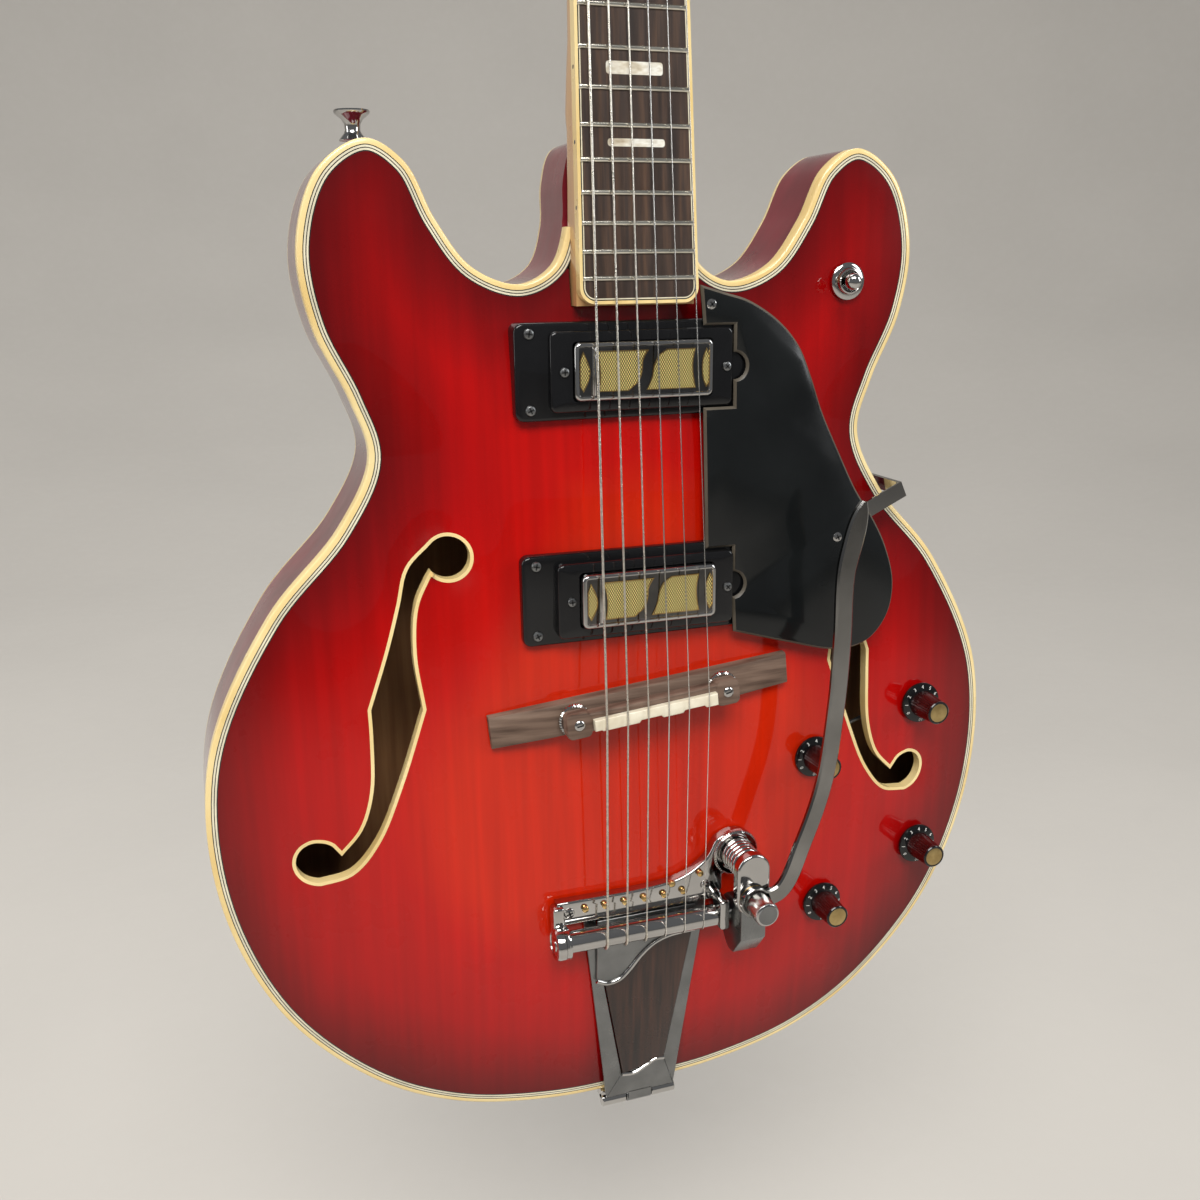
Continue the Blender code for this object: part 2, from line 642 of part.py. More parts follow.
# ---- pickups and guard --------------------------------------------------------------------
def build_pickups():
    """Two pickups, each in a plastic ring with a raised bezel."""
    for name, spec in (("neck_pickup", NECK_PICKUP), ("bridge_pickup", BRIDGE_PICKUP)):
        centre = (PICKUP_X, spec["z"])
        flange = rounded_rectangle(centre, FLANGE_SIZE, 0.004)
        ring = add_node(f"{name}_ring", slab(flange, lambda x, z: raised(spec["flange"]),
                                             lambda x, z: top_y(x, z) - 0.0011, grid=0.024),
                        "black_plastic")
        bezel = prism(rounded_rectangle(centre, BEZEL_SIZE, 0.003), raised(spec["bezel"]),
                      raised(spec["flange"] - 0.001))
        combine(ring, "UNION", add_guide(f"{name}_bezel", bezel))
        window = prism(rounded_rectangle(centre, WINDOW_SIZE, 0.002), -0.07, -0.02)
        combine(ring, "DIFFERENCE", add_guide(f"{name}_window", window))
        cover = rounded_rectangle(centre, COVER_SIZE, 0.0016)
        top = raised(spec["cover"])
        steps = [inset(cover, d) for d in (0.0009, 0.0003, 0.0)]
        bm = bmesh.new()
        levels = list(zip(steps + [cover], (top, top + 0.0005, top + 0.0013, CAVITY_FLOOR - 0.002)))
        rings = [[bm.verts.new((p.x, y, p.y)) for p in outline] for outline, y in levels]
        add_node(name, skin(bm, rings), "chrome")


def guard_outline():
    """Pickguard, cut around both bezels, each cut with a round notch for its height screw."""
    right = smooth_path(((0.0290, -0.4450), (0.0410, -0.4485), (0.0530, -0.4522),
                         (0.0680, -0.4615), (0.0785, -0.4730), (0.0850, -0.4868),
                         (0.0915, -0.5040), (0.1010, -0.5235), (0.1110, -0.5425),
                         (0.1200, -0.5555), (0.1285, -0.5713), (0.1337, -0.5900),
                         (0.1315, -0.6060), (0.1225, -0.6178), (0.1110, -0.6221),
                         (0.0980, -0.6215), (0.0770, -0.6158), (0.0505, -0.6078)), 2)
    bezel_right = PICKUP_X + BEZEL_SIZE[0] / 2 + 0.0008
    left = []
    for spec, edge in ((BRIDGE_PICKUP, 0.0318), (NECK_PICKUP, 0.0306)):
        half = BEZEL_SIZE[1] / 2 + 0.0008
        if spec is NECK_PICKUP:
            left += [Vector((edge, spec["z"] - half)), Vector((bezel_right, spec["z"] - half))]
        left += arc((bezel_right, spec["z"]), 0.0062, -90, 90, 7)
        left += [Vector((bezel_right, spec["z"] + half)), Vector((edge, spec["z"] + half))]
    return list(reversed(right + left))


def guard_y(z, lift=0.0):
    """Y of the guard's underside, or of a plane in front of it."""
    return raised(GUARD_HEIGHT + GUARD_RISE * (NECK_PICKUP["z"] - z) + lift)


def build_guard():
    """Pickguard and the bracket that carries its outer edge."""
    guard = slab(guard_outline(), lambda x, z: guard_y(z, GUARD_THICKNESS), lambda x, z: guard_y(z))
    add_node("pickguard", guard, "black_plastic")
    start = Vector((0.104, -0.5600))
    end = Vector((0.1385, -0.5440))
    run = (end - start).normalized()
    side = Vector((-run.y, run.x)) * 0.004
    strap = [start + side, start - side, end - side, end + side]
    leg_foot = RIM_Y + 0.018
    front = guard_y(start.y) + GAP
    bracket = add_node("pickguard_bracket", prism(strap, front, front + 0.0012), "chrome")
    leg = [end + side, end - side, end - side - run * 0.0012, end + side - run * 0.0012]
    combine(bracket, "UNION", add_guide("bracket_leg", prism(leg, front + 0.0003, leg_foot)))


# ---- bridge -------------------------------------------------------------------------------
def bridge_place(along, across=0.0):
    """A point of the slanted bridge, as (x, z)."""
    turn = Matrix.Rotation(BRIDGE_ANGLE, 2)
    return Vector(BRIDGE_CENTRE) + turn @ Vector((along - BRIDGE_CENTRE[0], across))


def bridge_shape(low, high, across, radius):
    """A slanted rectangle with round corners."""
    middle = ((low + high) / 2, BRIDGE_CENTRE[1] + (across[0] + across[1]) / 2)
    size = (high - low, across[1] - across[0])
    return turned(rounded_rectangle(middle, size, radius, 3), BRIDGE_ANGLE, BRIDGE_CENTRE)


def build_bridge():
    """Base, two posts with thumbwheels, and the bar that carries the saddle."""
    def base_front(x, z):
        along = abs(x - BRIDGE_CENTRE[0])
        return raised(BRIDGE_BASE_TOP - max(0.0, along - 0.048) * 0.10)

    base = bridge_shape(-0.0745, 0.0775, (-0.0080, 0.0080), 0.0008)
    add_node("bridge_base", slab(base, base_front, lambda x, z: top_y(x, z) - 0.0005, grid=0.024),
             "bridge_wood")
    holes = []
    for x, name in zip(BRIDGE_POST_X, ("bass", "treble")):
        place = bridge_place(x)
        centre = (place.x, 0, place.y)
        post = rod(0.0022, raised(BAR_HEIGHTS[1] - 0.0008), raised(BRIDGE_BASE_TOP + GAP), "Y", 14)
        add_node(f"bridge_post_{name}", post, "steel", centre)
        wheel = band([arc((0, 0), r, 0, 337.5, 16) for r in (0.0080, 0.0025, 0.0025, 0.0080)],
                     [raised(WHEEL_HEIGHTS[i]) for i in (1, 1, 0, 0)])
        add_node(f"bridge_wheel_{name}", wheel, "chrome", centre)
        holes.append(rod(0.0026, -0.07, -0.04, "Y", 14, centre))
    beam = bridge_shape(BRIDGE_POST_X[0] + 0.0040, BRIDGE_POST_X[1] - 0.0040, (-0.0045, 0.0045),
                        0.001)
    bar = add_node("bridge_bar", prism(beam, raised(BAR_HEIGHTS[1]), raised(BAR_HEIGHTS[0])),
                   "bridge_wood")
    ends = [prism(bridge_shape(x - 0.0062, x + 0.0062, (-0.0068, 0.0058), 0.0022),
                  raised(BAR_HEIGHTS[1] + 0.0004), raised(BAR_HEIGHTS[0]) - 0.0002)
            for x in BRIDGE_POST_X]
    combine(bar, "UNION", add_guide("bar_ends", merged(*ends)))
    combine(bar, "DIFFERENCE", add_guide("bar_holes", merged(*holes)))
    saddle = bridge_shape(BRIDGE_POST_X[0] + 0.0066, BRIDGE_POST_X[1] - 0.0066,
                          (-0.0042, 0.0018), 0.0006)
    add_node("bridge_saddle", prism(saddle, raised(SADDLE_TOP), raised(BAR_HEIGHTS[1] + GAP)),
             "white_plastic")


# ---- tailpiece and vibrato ----------------------------------------------------------------
def trapeze_y(z):
    """Y of the trapeze plate's front: it falls towards the tail hinge."""
    return raised(0.0058 + 0.0780 * (z + 0.858))


def build_tailpiece():
    """Trapeze with the vibrato's cast base, its wooden panel and its hinge bracket."""
    foot = HINGE_Z + HINGE_RADIUS + 0.0005
    plate = [(TAIL_X - 0.0190, foot), (TAIL_X - 0.0064, foot),
             (TAIL_X - 0.0064, HINGE_Z + 0.0011), (TAIL_X + 0.0064, HINGE_Z + 0.0011),
             (TAIL_X + 0.0064, foot), (TAIL_X + 0.0190, foot),
             (TAIL_X + 0.0340, -0.7400), (TAIL_X - 0.0340, -0.7400)]
    frame = add_node("tailpiece_frame", slab(plate, lambda x, z: trapeze_y(z),
                                             lambda x, z: trapeze_y(z) + 0.0016), "chrome")
    window = [(TAIL_X - 0.0108, -0.8490), (TAIL_X + 0.0128, -0.8440), (TAIL_X + 0.0262, -0.7640),
              (TAIL_X - 0.0262, -0.7640)]
    hole = prism([Vector(p) for p in window], -0.08, -0.02)
    combine(frame, "DIFFERENCE", add_guide("panel_window", hole))
    panel = inset([Vector(p) for p in window], 0.0004)
    add_node("tailpiece_panel", slab(panel, lambda x, z: trapeze_y(z) - 0.0012,
                                     lambda x, z: trapeze_y(z) + 0.0012), "rosewood")

    knuckle = rod(HINGE_RADIUS, TAIL_X - 0.0070, TAIL_X + 0.0070, "X", 16,
                  (0, raised(HINGE_HEIGHT), HINGE_Z))
    combine(frame, "UNION", add_guide("frame_knuckle", knuckle))
    pin_hole = rod(0.0017, TAIL_X - 0.02, TAIL_X + 0.02, "X", 12,
                   (0, raised(HINGE_HEIGHT), HINGE_Z))
    combine(frame, "DIFFERENCE", add_guide("pin_hole", pin_hole))

    strip = [(-0.0450, -0.7490), (0.0390, -0.7490), (0.0430, -0.7440), (0.0430, -0.7360),
             (0.0545, -0.7320), (0.0600, -0.7245), (0.0575, -0.7155), (0.0485, -0.7125),
             (0.0400, -0.7160), (0.0345, -0.7250), (0.0220, -0.7330), (0.0000, -0.7360),
             (-0.0450, -0.7360)]
    cast = prism([Vector(p) for p in strip], raised(0.0172), raised(0.0118))
    combine(frame, "UNION", add_guide("vibrato_base", cast))
    seat_centre = (SPRING_AT[0], 0, SPRING_AT[1])
    seat = rod(0.0122, raised(SEAT_HEIGHTS[1] + 0.002), raised(SEAT_HEIGHTS[0]), "Y", 24,
               seat_centre)
    combine(frame, "UNION", add_guide("spring_seat", seat))
    hollow = rod(0.0093, -0.07, raised(SEAT_HEIGHTS[1]), "Y", 24, seat_centre)
    combine(frame, "DIFFERENCE", add_guide("seat_hollow", hollow))
    axis_at = (0, raised(ROCKER_HEIGHT), ROCKER_Z)
    cap = rod(0.0082, -0.0485, -0.0412, "X", 18, axis_at)
    cheek = box((0.0373, raised(0.0285), -0.7610), (0.0425, raised(0.0125), -0.7450))
    foot = box((-0.0476, raised(0.0200), -0.7560), (-0.0419, raised(0.0125), -0.7374))
    combine(frame, "UNION", add_guide("rocker_cheeks", merged(cap, cheek)))
    combine(frame, "UNION", add_guide("cap_foot", foot))
    bearing = rod(JOURNAL_RADIUS + GAP, 0.030, 0.050, "X", 18, axis_at)
    combine(frame, "DIFFERENCE", add_guide("rocker_bearing", bearing))

    tail_z = BODY_CURVE[0][1] - GAP
    bracket = add_node("tail_hinge_bracket", box(
        (TAIL_X - 0.0205, RIM_Y + 0.0045, tail_z - 0.0020),
        (TAIL_X + 0.0205, RIM_Y + 0.0360, tail_z)), "chrome")
    spans = ((TAIL_X - 0.0205, TAIL_X - 0.0073), (TAIL_X + 0.0073, TAIL_X + 0.0205))
    ears = [box((low, RIM_Y - 0.0020, HINGE_Z), (high, RIM_Y + 0.0060, tail_z))
            for low, high in spans]
    combine(bracket, "UNION", add_guide("hinge_ears", merged(*ears)))
    barrels = [rod(HINGE_RADIUS, low, high, "X", 16, (0, raised(HINGE_HEIGHT), HINGE_Z))
               for low, high in spans]
    combine(bracket, "UNION", add_guide("hinge_barrels", merged(*barrels)))
    pin = rod(0.0014, TAIL_X - 0.015, TAIL_X + 0.015, "X", 12,
              (0, raised(HINGE_HEIGHT), HINGE_Z))
    combine(bracket, "UNION", add_guide("hinge_pin", pin))


def coil_path(turns, per_turn, radius, low, high):
    """A helix around the spring's axis, from one height to another."""
    count = turns * per_turn
    path = []
    for i in range(count + 1):
        a = 2 * math.pi * i / per_turn
        path.append(Vector((SPRING_AT[0] + radius * math.cos(a), raised(low + (high - low) * i / count),
                            SPRING_AT[1] + radius * math.sin(a))))
    return path


def build_vibrato():
    """Rocker bar with its lever, spring, arm and the knob that clamps the arm."""
    axis_at = Vector((0, raised(ROCKER_HEIGHT), ROCKER_Z))
    bar = lathe(((0, -0.0408), (ROCKER_RADIUS, -0.0408), (ROCKER_RADIUS, 0.0368),
                 (JOURNAL_RADIUS, 0.0372), (JOURNAL_RADIUS, 0.0450), (0, 0.0450)), "X", 18)
    rocker = add_node("rocker_bar", bar, "chrome", axis_at)
    low, high = LEVER_HEIGHTS
    side = [(-0.7690, 0.0180), (-0.7610, 0.0135), (-0.7500, 0.0150), (-0.7440, 0.0210),
            (-0.7430, low), (-0.7130, low), (-0.7120, low + 0.002), (-0.7135, high),
            (-0.7620, high), (-0.7720, 0.0320), (-0.7740, 0.0240)]
    bm = bmesh.new()
    rings = [[bm.verts.new((x, raised(h), z)) for z, h in side] for x in LEVER_X]
    combine(rocker, "UNION", add_guide("lever", skin(bm, rings)))
    stud = rod(0.0030, raised(high + 0.0070), raised(high - 0.002), "Y", 14,
               (ARM_PIVOT[0], 0, ARM_PIVOT[1]))
    combine(rocker, "UNION", add_guide("arm_stud", stud))

    wire = 0.0015
    tube("vibrato_spring", coil_path(5, 10, 0.0070, SEAT_HEIGHTS[1] + wire + GAP,
                                     low - wire - GAP), wire, "steel", 1)

    path = smooth_path(((0.0505, 0, -0.7400), (0.0640, 0, -0.7360), (0.0750, 0, -0.7115),
                        (0.0845, 0, -0.6805), (0.0888, 0, -0.6400), (0.0903, 0, -0.6080),
                        (0.0906, 0, -0.5760), (0.0938, 0, -0.5605), (0.0985, 0, -0.5420)), 3)
    path = [p + Vector((0, raised(ARM_HEIGHT) - 0.030 * max(0, min(0.1, p.z + 0.735)), 0))
            for p in path]
    pivot = Vector((ARM_PIVOT[0], raised(ARM_HEIGHT), ARM_PIVOT[1]))
    arm = sweep([p - pivot for p in path], 0.0090, ARM_THICKNESS)
    arm_node = add_node("vibrato_arm", arm, "chrome", pivot)
    eye = rod(0.0080, -ARM_THICKNESS / 2 - 0.0001, ARM_THICKNESS / 2 + 0.0001, "Y", 20, pivot)
    combine(arm_node, "UNION", add_guide("arm_eye", eye))
    bore = rod(0.0034, -0.01, 0.01, "Y", 16, pivot)
    combine(arm_node, "DIFFERENCE", add_guide("arm_bore", bore))

    knob_foot = raised(ARM_HEIGHT + ARM_THICKNESS / 2 + 0.0004)
    knob = lathe(((0, -0.0040), (0.0034, -0.0040), (0.0034, 0), (0.0063, 0), (0.0063, -0.0110),
                  (0.0056, -0.0120), (0, -0.0120)), "Y", 20)
    add_node("arm_knob", knob, "chrome", (ARM_PIVOT[0], knob_foot, ARM_PIVOT[1]))


# ---- controls -----------------------------------------------------------------------------
def build_controls():
    """Four knobs with their pots, the toggle switch and the output jack."""
    cans = []
    for name, (x, z) in zip(KNOB_NAMES, KNOB_POSITIONS):
        foot = min(top_y(x + dx, z + dz) for dx in (-0.011, 0.011) for dz in (-0.011, 0.011))
        foot -= 0.0008
        pot_front = top_y(x, z) + TOP_THICKNESS + 0.0020
        shaft_end = pot_front - GAP - foot
        knob = lathe(((0, shaft_end), (SHAFT_RADIUS, shaft_end), (SHAFT_RADIUS, 0),
                      (0.0110, 0), (0.0108, -0.0016), (0.0072, -0.0026), (0.0064, -0.0165),
                      (0.0060, -KNOB_HEIGHT), (0, -KNOB_HEIGHT)), "Y", 18)
        add_node(name, knob, "knob_plastic", (x, foot, z))
        cans.append(rod(0.0115, pot_front, pot_front + 0.0100, "Y", 16, (x, 0, z)))
    pots = add_node("control_pots", cans[0], "steel")
    links = []
    for (x0, z0), (x1, z1) in zip(KNOB_POSITIONS[:-1], KNOB_POSITIONS[1:]):
        run = Vector((x1 - x0, 0, z1 - z0))
        wire = rod(0.0010, 0.006, run.length - 0.006, "X", 8)
        turn = Vector((1, 0, 0)).rotation_difference(run.normalized()).to_matrix().to_4x4()
        depth = (top_y(x0, z0) + top_y(x1, z1)) / 2 + 0.0115
        wire.transform(Matrix.Translation((x0, depth, z0)) @ turn)
        links.append(wire)
    for number, piece in enumerate(cans[1:] + links):
        combine(pots, "UNION", add_guide(f"pot_{number + 2}", piece))

    x, z = SWITCH_AT
    surface = top_y(x, z)
    foot = surface - 0.0010
    collar = band([arc((0, 0), r, 0, 340, 18) for r in
                   (0.0046, 0.0085, 0.0085, 0.0055, 0.0055, 0.0085, 0.0085, 0.0046)],
                  [foot - 0.0026, foot - 0.0026, foot, foot, surface + 0.0078, surface + 0.0078,
                   surface + 0.0240, surface + 0.0240])
    add_node("switch_body", collar, "chrome", (x, 0, z))
    lever = lathe(((0, 0.0060), (0.0015, 0.0060), (0.0015, -0.0120), (0.0030, -0.0135),
                   (0.0038, -0.0160), (0.0030, -0.0188), (0, -0.0198)), "Y", 16)
    add_node("switch_lever", lever, "chrome", (x, surface + 0.0010, z), rotation=(0, 0, -SWITCH_LEAN))

    x, y, z = JACK_AT
    plate = rounded_rectangle((y, z), (0.030, 0.030), 0.004)
    bm = bmesh.new()
    rings = [[bm.verts.new((depth, p.x, p.y)) for p in plate] for depth in (x + 0.0009, x + 0.0027)]
    jack = add_node("output_jack", skin(bm, rings), "chrome")
    barrel = rod(0.0078, x - 0.030, x + 0.0015, "X", 16, (0, y, z))
    combine(jack, "UNION", add_guide("jack_barrel", barrel))
    socket = rod(0.0033, x - 0.026, x + 0.010, "X", 14, (0, y, z))
    combine(jack, "DIFFERENCE", add_guide("jack_socket", socket))


def build_strap_buttons():
    """A button on the bass horn and one on the tail bracket."""
    profile = ((0, 0), (0.0060, 0), (0.0052, 0.0012), (0.0032, 0.0040), (0.0034, 0.0070),
               (0.0068, 0.0102), (0.0076, 0.0112), (0.0076, 0.0122), (0, 0.0122))
    add_node("strap_button_horn", lathe(profile, "Z", 20), "chrome",
             (HORN_BUTTON[0], HORN_BUTTON[1], HORN_BUTTON[2] + 0.0004))
    down = [(r, -d) for r, d in profile]
    add_node("strap_button_tail", lathe(down, "Z", 20), "chrome",
             (TAIL_X, RIM_Y + 0.0250, BODY_CURVE[0][1] - 0.0020 - 2 * GAP))


def main():
    clear_scene()
    build_body()
    build_neck()
    head = bpy.data.objects.new("headstock_frame", None)
    head.location = HEAD_ORIGIN
    head.rotation_euler = (-HEAD_TILT, 0, 0)
    bpy.context.scene.collection.objects.link(head)
    build_tuners(head)
    build_strings(head)
    build_pickups()
    build_guard()
    build_bridge()
    build_tailpiece()
    build_vibrato()
    build_controls()
    build_strap_buttons()


main()
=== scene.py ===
"""Looks of the electric guitar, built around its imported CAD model. Metres, Z up, front at -Y."""

import math

import bmesh
import bpy
import numpy as np
from mathutils import Matrix, Vector
from mathutils.bvhtree import BVHTree
from mathutils.geometry import delaunay_2d_cdt


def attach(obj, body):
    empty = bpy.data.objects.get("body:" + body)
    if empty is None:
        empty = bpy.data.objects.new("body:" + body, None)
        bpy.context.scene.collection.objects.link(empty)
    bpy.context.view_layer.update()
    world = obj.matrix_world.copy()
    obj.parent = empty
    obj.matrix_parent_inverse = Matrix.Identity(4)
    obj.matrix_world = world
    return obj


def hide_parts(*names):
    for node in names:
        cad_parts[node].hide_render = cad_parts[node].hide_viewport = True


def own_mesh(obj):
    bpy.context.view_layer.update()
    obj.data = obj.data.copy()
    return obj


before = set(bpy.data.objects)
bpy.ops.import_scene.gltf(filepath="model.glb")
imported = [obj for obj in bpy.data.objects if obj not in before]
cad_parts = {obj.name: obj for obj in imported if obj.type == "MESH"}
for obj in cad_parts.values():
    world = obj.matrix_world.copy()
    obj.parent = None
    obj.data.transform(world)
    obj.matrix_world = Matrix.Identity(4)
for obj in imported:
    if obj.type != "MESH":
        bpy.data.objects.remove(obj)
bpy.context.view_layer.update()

# ---- sizes shared with the CAD
GAP = 0.0003
RIM_Y = -0.029
BACK_Y = 0.017
ARCH_FRONT = 0.0105
ARCH_BACK = 0.0075
ARCH_RUN = 0.11
ARCH_POWER = 1.4
TOP_THICKNESS = 0.0045
BACK_THICKNESS = 0.003
BINDING_WIDTH = 0.0053
BINDING_DEPTH = 0.007
BOARD_Y = -0.0105
BOARD_SLOPE = 0.0738
BOARD_THICKNESS = 0.0055
BOARD_END = -0.4525
NUT_HALF = 0.0208
END_HALF = 0.0276
SCALE_LENGTH = 0.62865
FRET_COUNT = 21
STRING_NUT_Y = -0.0126
STRING_SADDLE_Y = -0.061
STRING_RADII = (0.0006, 0.0005, 0.00042, 0.00034, 0.00026, 0.00022)
TAIL_X = 0.0023
HEAD_TILT = math.radians(12)
HEAD_THICKNESS = 0.0145
HEAD_ORIGIN = Vector((0.0, BOARD_Y + BOARD_THICKNESS + GAP, 0.0))
BODY_CURVE = (
    (0.0, -0.861), (0.046, -0.8594), (0.096, -0.848), (0.137, -0.8242),
    (0.1775, -0.7775), (0.2, -0.713), (0.1982, -0.645), (0.168, -0.584),
    (0.1345, -0.546), (0.1198, -0.516), (0.1262, -0.491), (0.1398, -0.46),
    (0.1437, -0.427), (0.133, -0.397), (0.1135, -0.3853), (0.0975, -0.3945),
    (0.086, -0.417), (0.071, -0.4365), (0.05, -0.4438), (0.0345, -0.436),
    (0.0282, -0.418), (0.0274, -0.4), (0.0226, -0.3855), (0.011, -0.3815),
)
PICKUP_X = 0.0015
PICKUPS = {
    "neck_pickup": {"z": -0.481, "flange": 0.012, "bezel": 0.015, "cover": 0.0172},
    "bridge_pickup": {"z": -0.5833, "flange": 0.0145, "bezel": 0.02, "cover": 0.024},
}
BRIDGE_ANGLE = math.radians(5.4)
BRIDGE_CENTRE = Vector((0.0015, -0.637))
POST_X = (-0.0352, 0.0398)
ROCKER_HEIGHT = 0.022
ROCKER_Z = -0.755
SPRING_AT = (0.05, -0.7245)
ARM_PIVOT = (0.05, -0.74)
HINGE_Z = -0.8668
KNOBS = {
    "treble_volume": (0.16, -0.036563, -0.661), "bass_volume": (0.096, -0.0403, -0.681),
    "bass_tone": (0.1045, -0.039225, -0.7665), "treble_tone": (0.1645, -0.034858, -0.7445),
}
SWITCH = (0.1078, -0.033135, -0.4447)
BEZEL = (0.0865, 0.035)
COVER = (0.0656, 0.0254)
ARM_HEIGHT = 0.0414
SPRING_FOOT = 0.0165
STRINGS_HALF_AT_NUT = 0.0174
STRINGS_HALF_AT_SADDLE = 0.0256

# ---- sizes that only the looks use
IN_FRONT = -0.2
FRET_HEIGHT, FRET_HALF_WIDTH = 0.001, 0.0011
POST_WAIST = 0.0029
ARM_HALF_THICKNESS = 0.0015
BRIDGE_LOW, BRIDGE_HIGH, BRIDGE_HALF_DEPTH = -0.0745, 0.0775, 0.008
BRACKET_HALF = 0.0205
PIN_HALF, PIN_RADIUS, PIN_CUT = 0.007, 0.0035, 0.0004
GRID_START, GRID_SIZE = (-0.21, -0.865), (0.42, 0.49)
ROW_STEP = 0.866  # rows of equal triangles lie this share of their width apart
FIRM_EDGE = 0.012
SMOOTH_ROUNDS = 40
HOLES_PER_METRE = 900
TRAPEZE_THICKNESS = 0.0016
FLOOR_Z = -1.2
FLOOR_RINGS = ((0.01, 0), (1.5, 0), (2.4, 0.07), (3.2, 0.26), (3.9, 0.6), (4.4, 1.1),
               (4.7, 1.8), (4.9, 2.7), (5.0, 4.0))
LIGHTS_AIM = (0.0, 0.0, -0.55)
CAMERA_PLACE = (-0.18988, -0.5498, -0.43643)
CAMERA_RIGHT = (0.94715, -0.3206, -0.01099)
CAMERA_BACK = (-0.30606, -0.91341, 0.26835)


# ---- small geometry helpers
def smooth_path(points, steps, closed=False):
    """Points of a centripetal Catmull-Rom curve through the given points."""
    knots = [Vector(p) for p in points]
    if closed:
        knots = [knots[-1]] + knots + knots[:2]
    else:
        knots = [2 * knots[0] - knots[1]] + knots + [2 * knots[-1] - knots[-2]]
    path = []
    for a, b, c, d in zip(knots, knots[1:], knots[2:], knots[3:]):
        t1 = math.sqrt((b - a).length)
        t2 = t1 + math.sqrt((c - b).length)
        t3 = t2 + math.sqrt((d - c).length)
        for step in range(steps):
            t = t1 + (t2 - t1) * step / steps
            ab = a * (t1 - t) / t1 + b * t / t1
            bc = b * (t2 - t) / (t2 - t1) + c * (t - t1) / (t2 - t1)
            cd = c * (t3 - t) / (t3 - t2) + d * (t - t2) / (t3 - t2)
            abc = ab * (t2 - t) / t2 + bc * t / t2
            bcd = bc * (t3 - t) / (t3 - t1) + cd * (t - t1) / (t3 - t1)
            path.append(abc * (t2 - t) / (t2 - t1) + bcd * (t - t1) / (t2 - t1))
    if not closed:
        path.append(knots[-2])
    return path


def arc(centre, radius, start, end, count):
    """Points on a circle between two angles in degrees, both ends included."""
    angles = [math.radians(start + (end - start) * i / (count - 1)) for i in range(count)]
    return [Vector((centre[0] + radius * math.cos(a), centre[1] + radius * math.sin(a)))
            for a in angles]


def rounded_rectangle(centre, size, radius, per_corner=8):
    """Outline of a rectangle with round corners, anticlockwise."""
    half_x = size[0] / 2 - radius
    half_z = size[1] / 2 - radius
    outline = []
    for number, (sx, sz) in enumerate(((1, 1), (-1, 1), (-1, -1), (1, -1))):
        corner = (centre[0] + sx * half_x, centre[1] + sz * half_z)
        outline += arc(corner, radius, 90 * number, 90 * number + 90, per_corner)
    return outline


def turned(outline, angle, centre):
    """A 2-D outline turned about a point."""
    spin = Matrix.Rotation(angle, 2)
    return [centre + spin @ (Vector(p) - centre) for p in outline]


def inset(outline, distance):
    """A closed anticlockwise outline moved inwards."""
    moved = []
    count = len(outline)
    for i, here in enumerate(outline):
        before = (here - outline[i - 1]).normalized()
        after = (outline[(i + 1) % count] - here).normalized()
        normals = [Vector((-d.y, d.x)) for d in (before, after)]
        mitre = (normals[0] + normals[1]).normalized()
        moved.append(here + mitre * distance / max(0.4, mitre.dot(normals[0])))
    return moved


def raised(height):
    """Y of a height above the rim plane."""
    return RIM_Y - height


def board_y(z):
    """Y of the fretboard's playing surface."""
    return BOARD_Y + BOARD_SLOPE * z


def board_half(z):
    """Half the fretboard's width."""
    return NUT_HALF + (END_HALF - NUT_HALF) * z / BOARD_END


def at_depth(outline, depth):
    """A 2-D outline as 3-D points at one Y, or at the Y that a function of x and z gives."""
    return [Vector((p.x, depth(p.x, p.y) if callable(depth) else depth, p.y)) for p in outline]


def raised_profile(*pairs):
    """A lathe's profile from (radius, height above the rim plane) pairs."""
    return [(radius, raised(height)) for radius, height in pairs]


def rod(radius, low, high, chamfer=0.0):
    """A lathe's profile of a solid rod, with cut edges if it has a chamfer."""
    if not chamfer:
        return ((0, low), (radius, low), (radius, high), (0, high))
    return ((0, low), (radius - chamfer, low), (radius, low + chamfer), (radius, high - chamfer),
            (radius - chamfer, high), (0, high))


def circle(count):
    """Angles evenly round a circle."""
    return [2 * math.pi * i / count for i in range(count)]


def loft(rings, closed=False):
    """A bmesh whose rings of 3-D points are joined with quads, capped unless it is closed."""
    bm = bmesh.new()
    made = [[bm.verts.new(p) for p in ring] for ring in rings]
    if closed:
        made.append(made[0])
    else:
        bm.faces.new(made[0])
        bm.faces.new(made[-1])
    for one, two in zip(made, made[1:]):
        for i in range(len(one)):
            j = (i + 1) % len(one)
            bm.faces.new((one[i], one[j], two[j], two[i]))
    bmesh.ops.recalc_face_normals(bm, faces=bm.faces)
    return bm


def plate(outline, front, back, edge=0.0, steps=3):
    """A plate in the XZ plane with a rounded front edge; front and back are numbers or functions."""
    rings = [at_depth(outline, back)]
    for step in range(steps + 1 if edge else 1):
        a = math.pi / 2 * step / steps
        line = inset(outline, edge * (1 - math.cos(a))) if edge else outline
        ring = at_depth(line, front)
        for point in ring:
            point.y += edge * (1 - math.sin(a))
        rings.append(ring)
    return loft(rings)


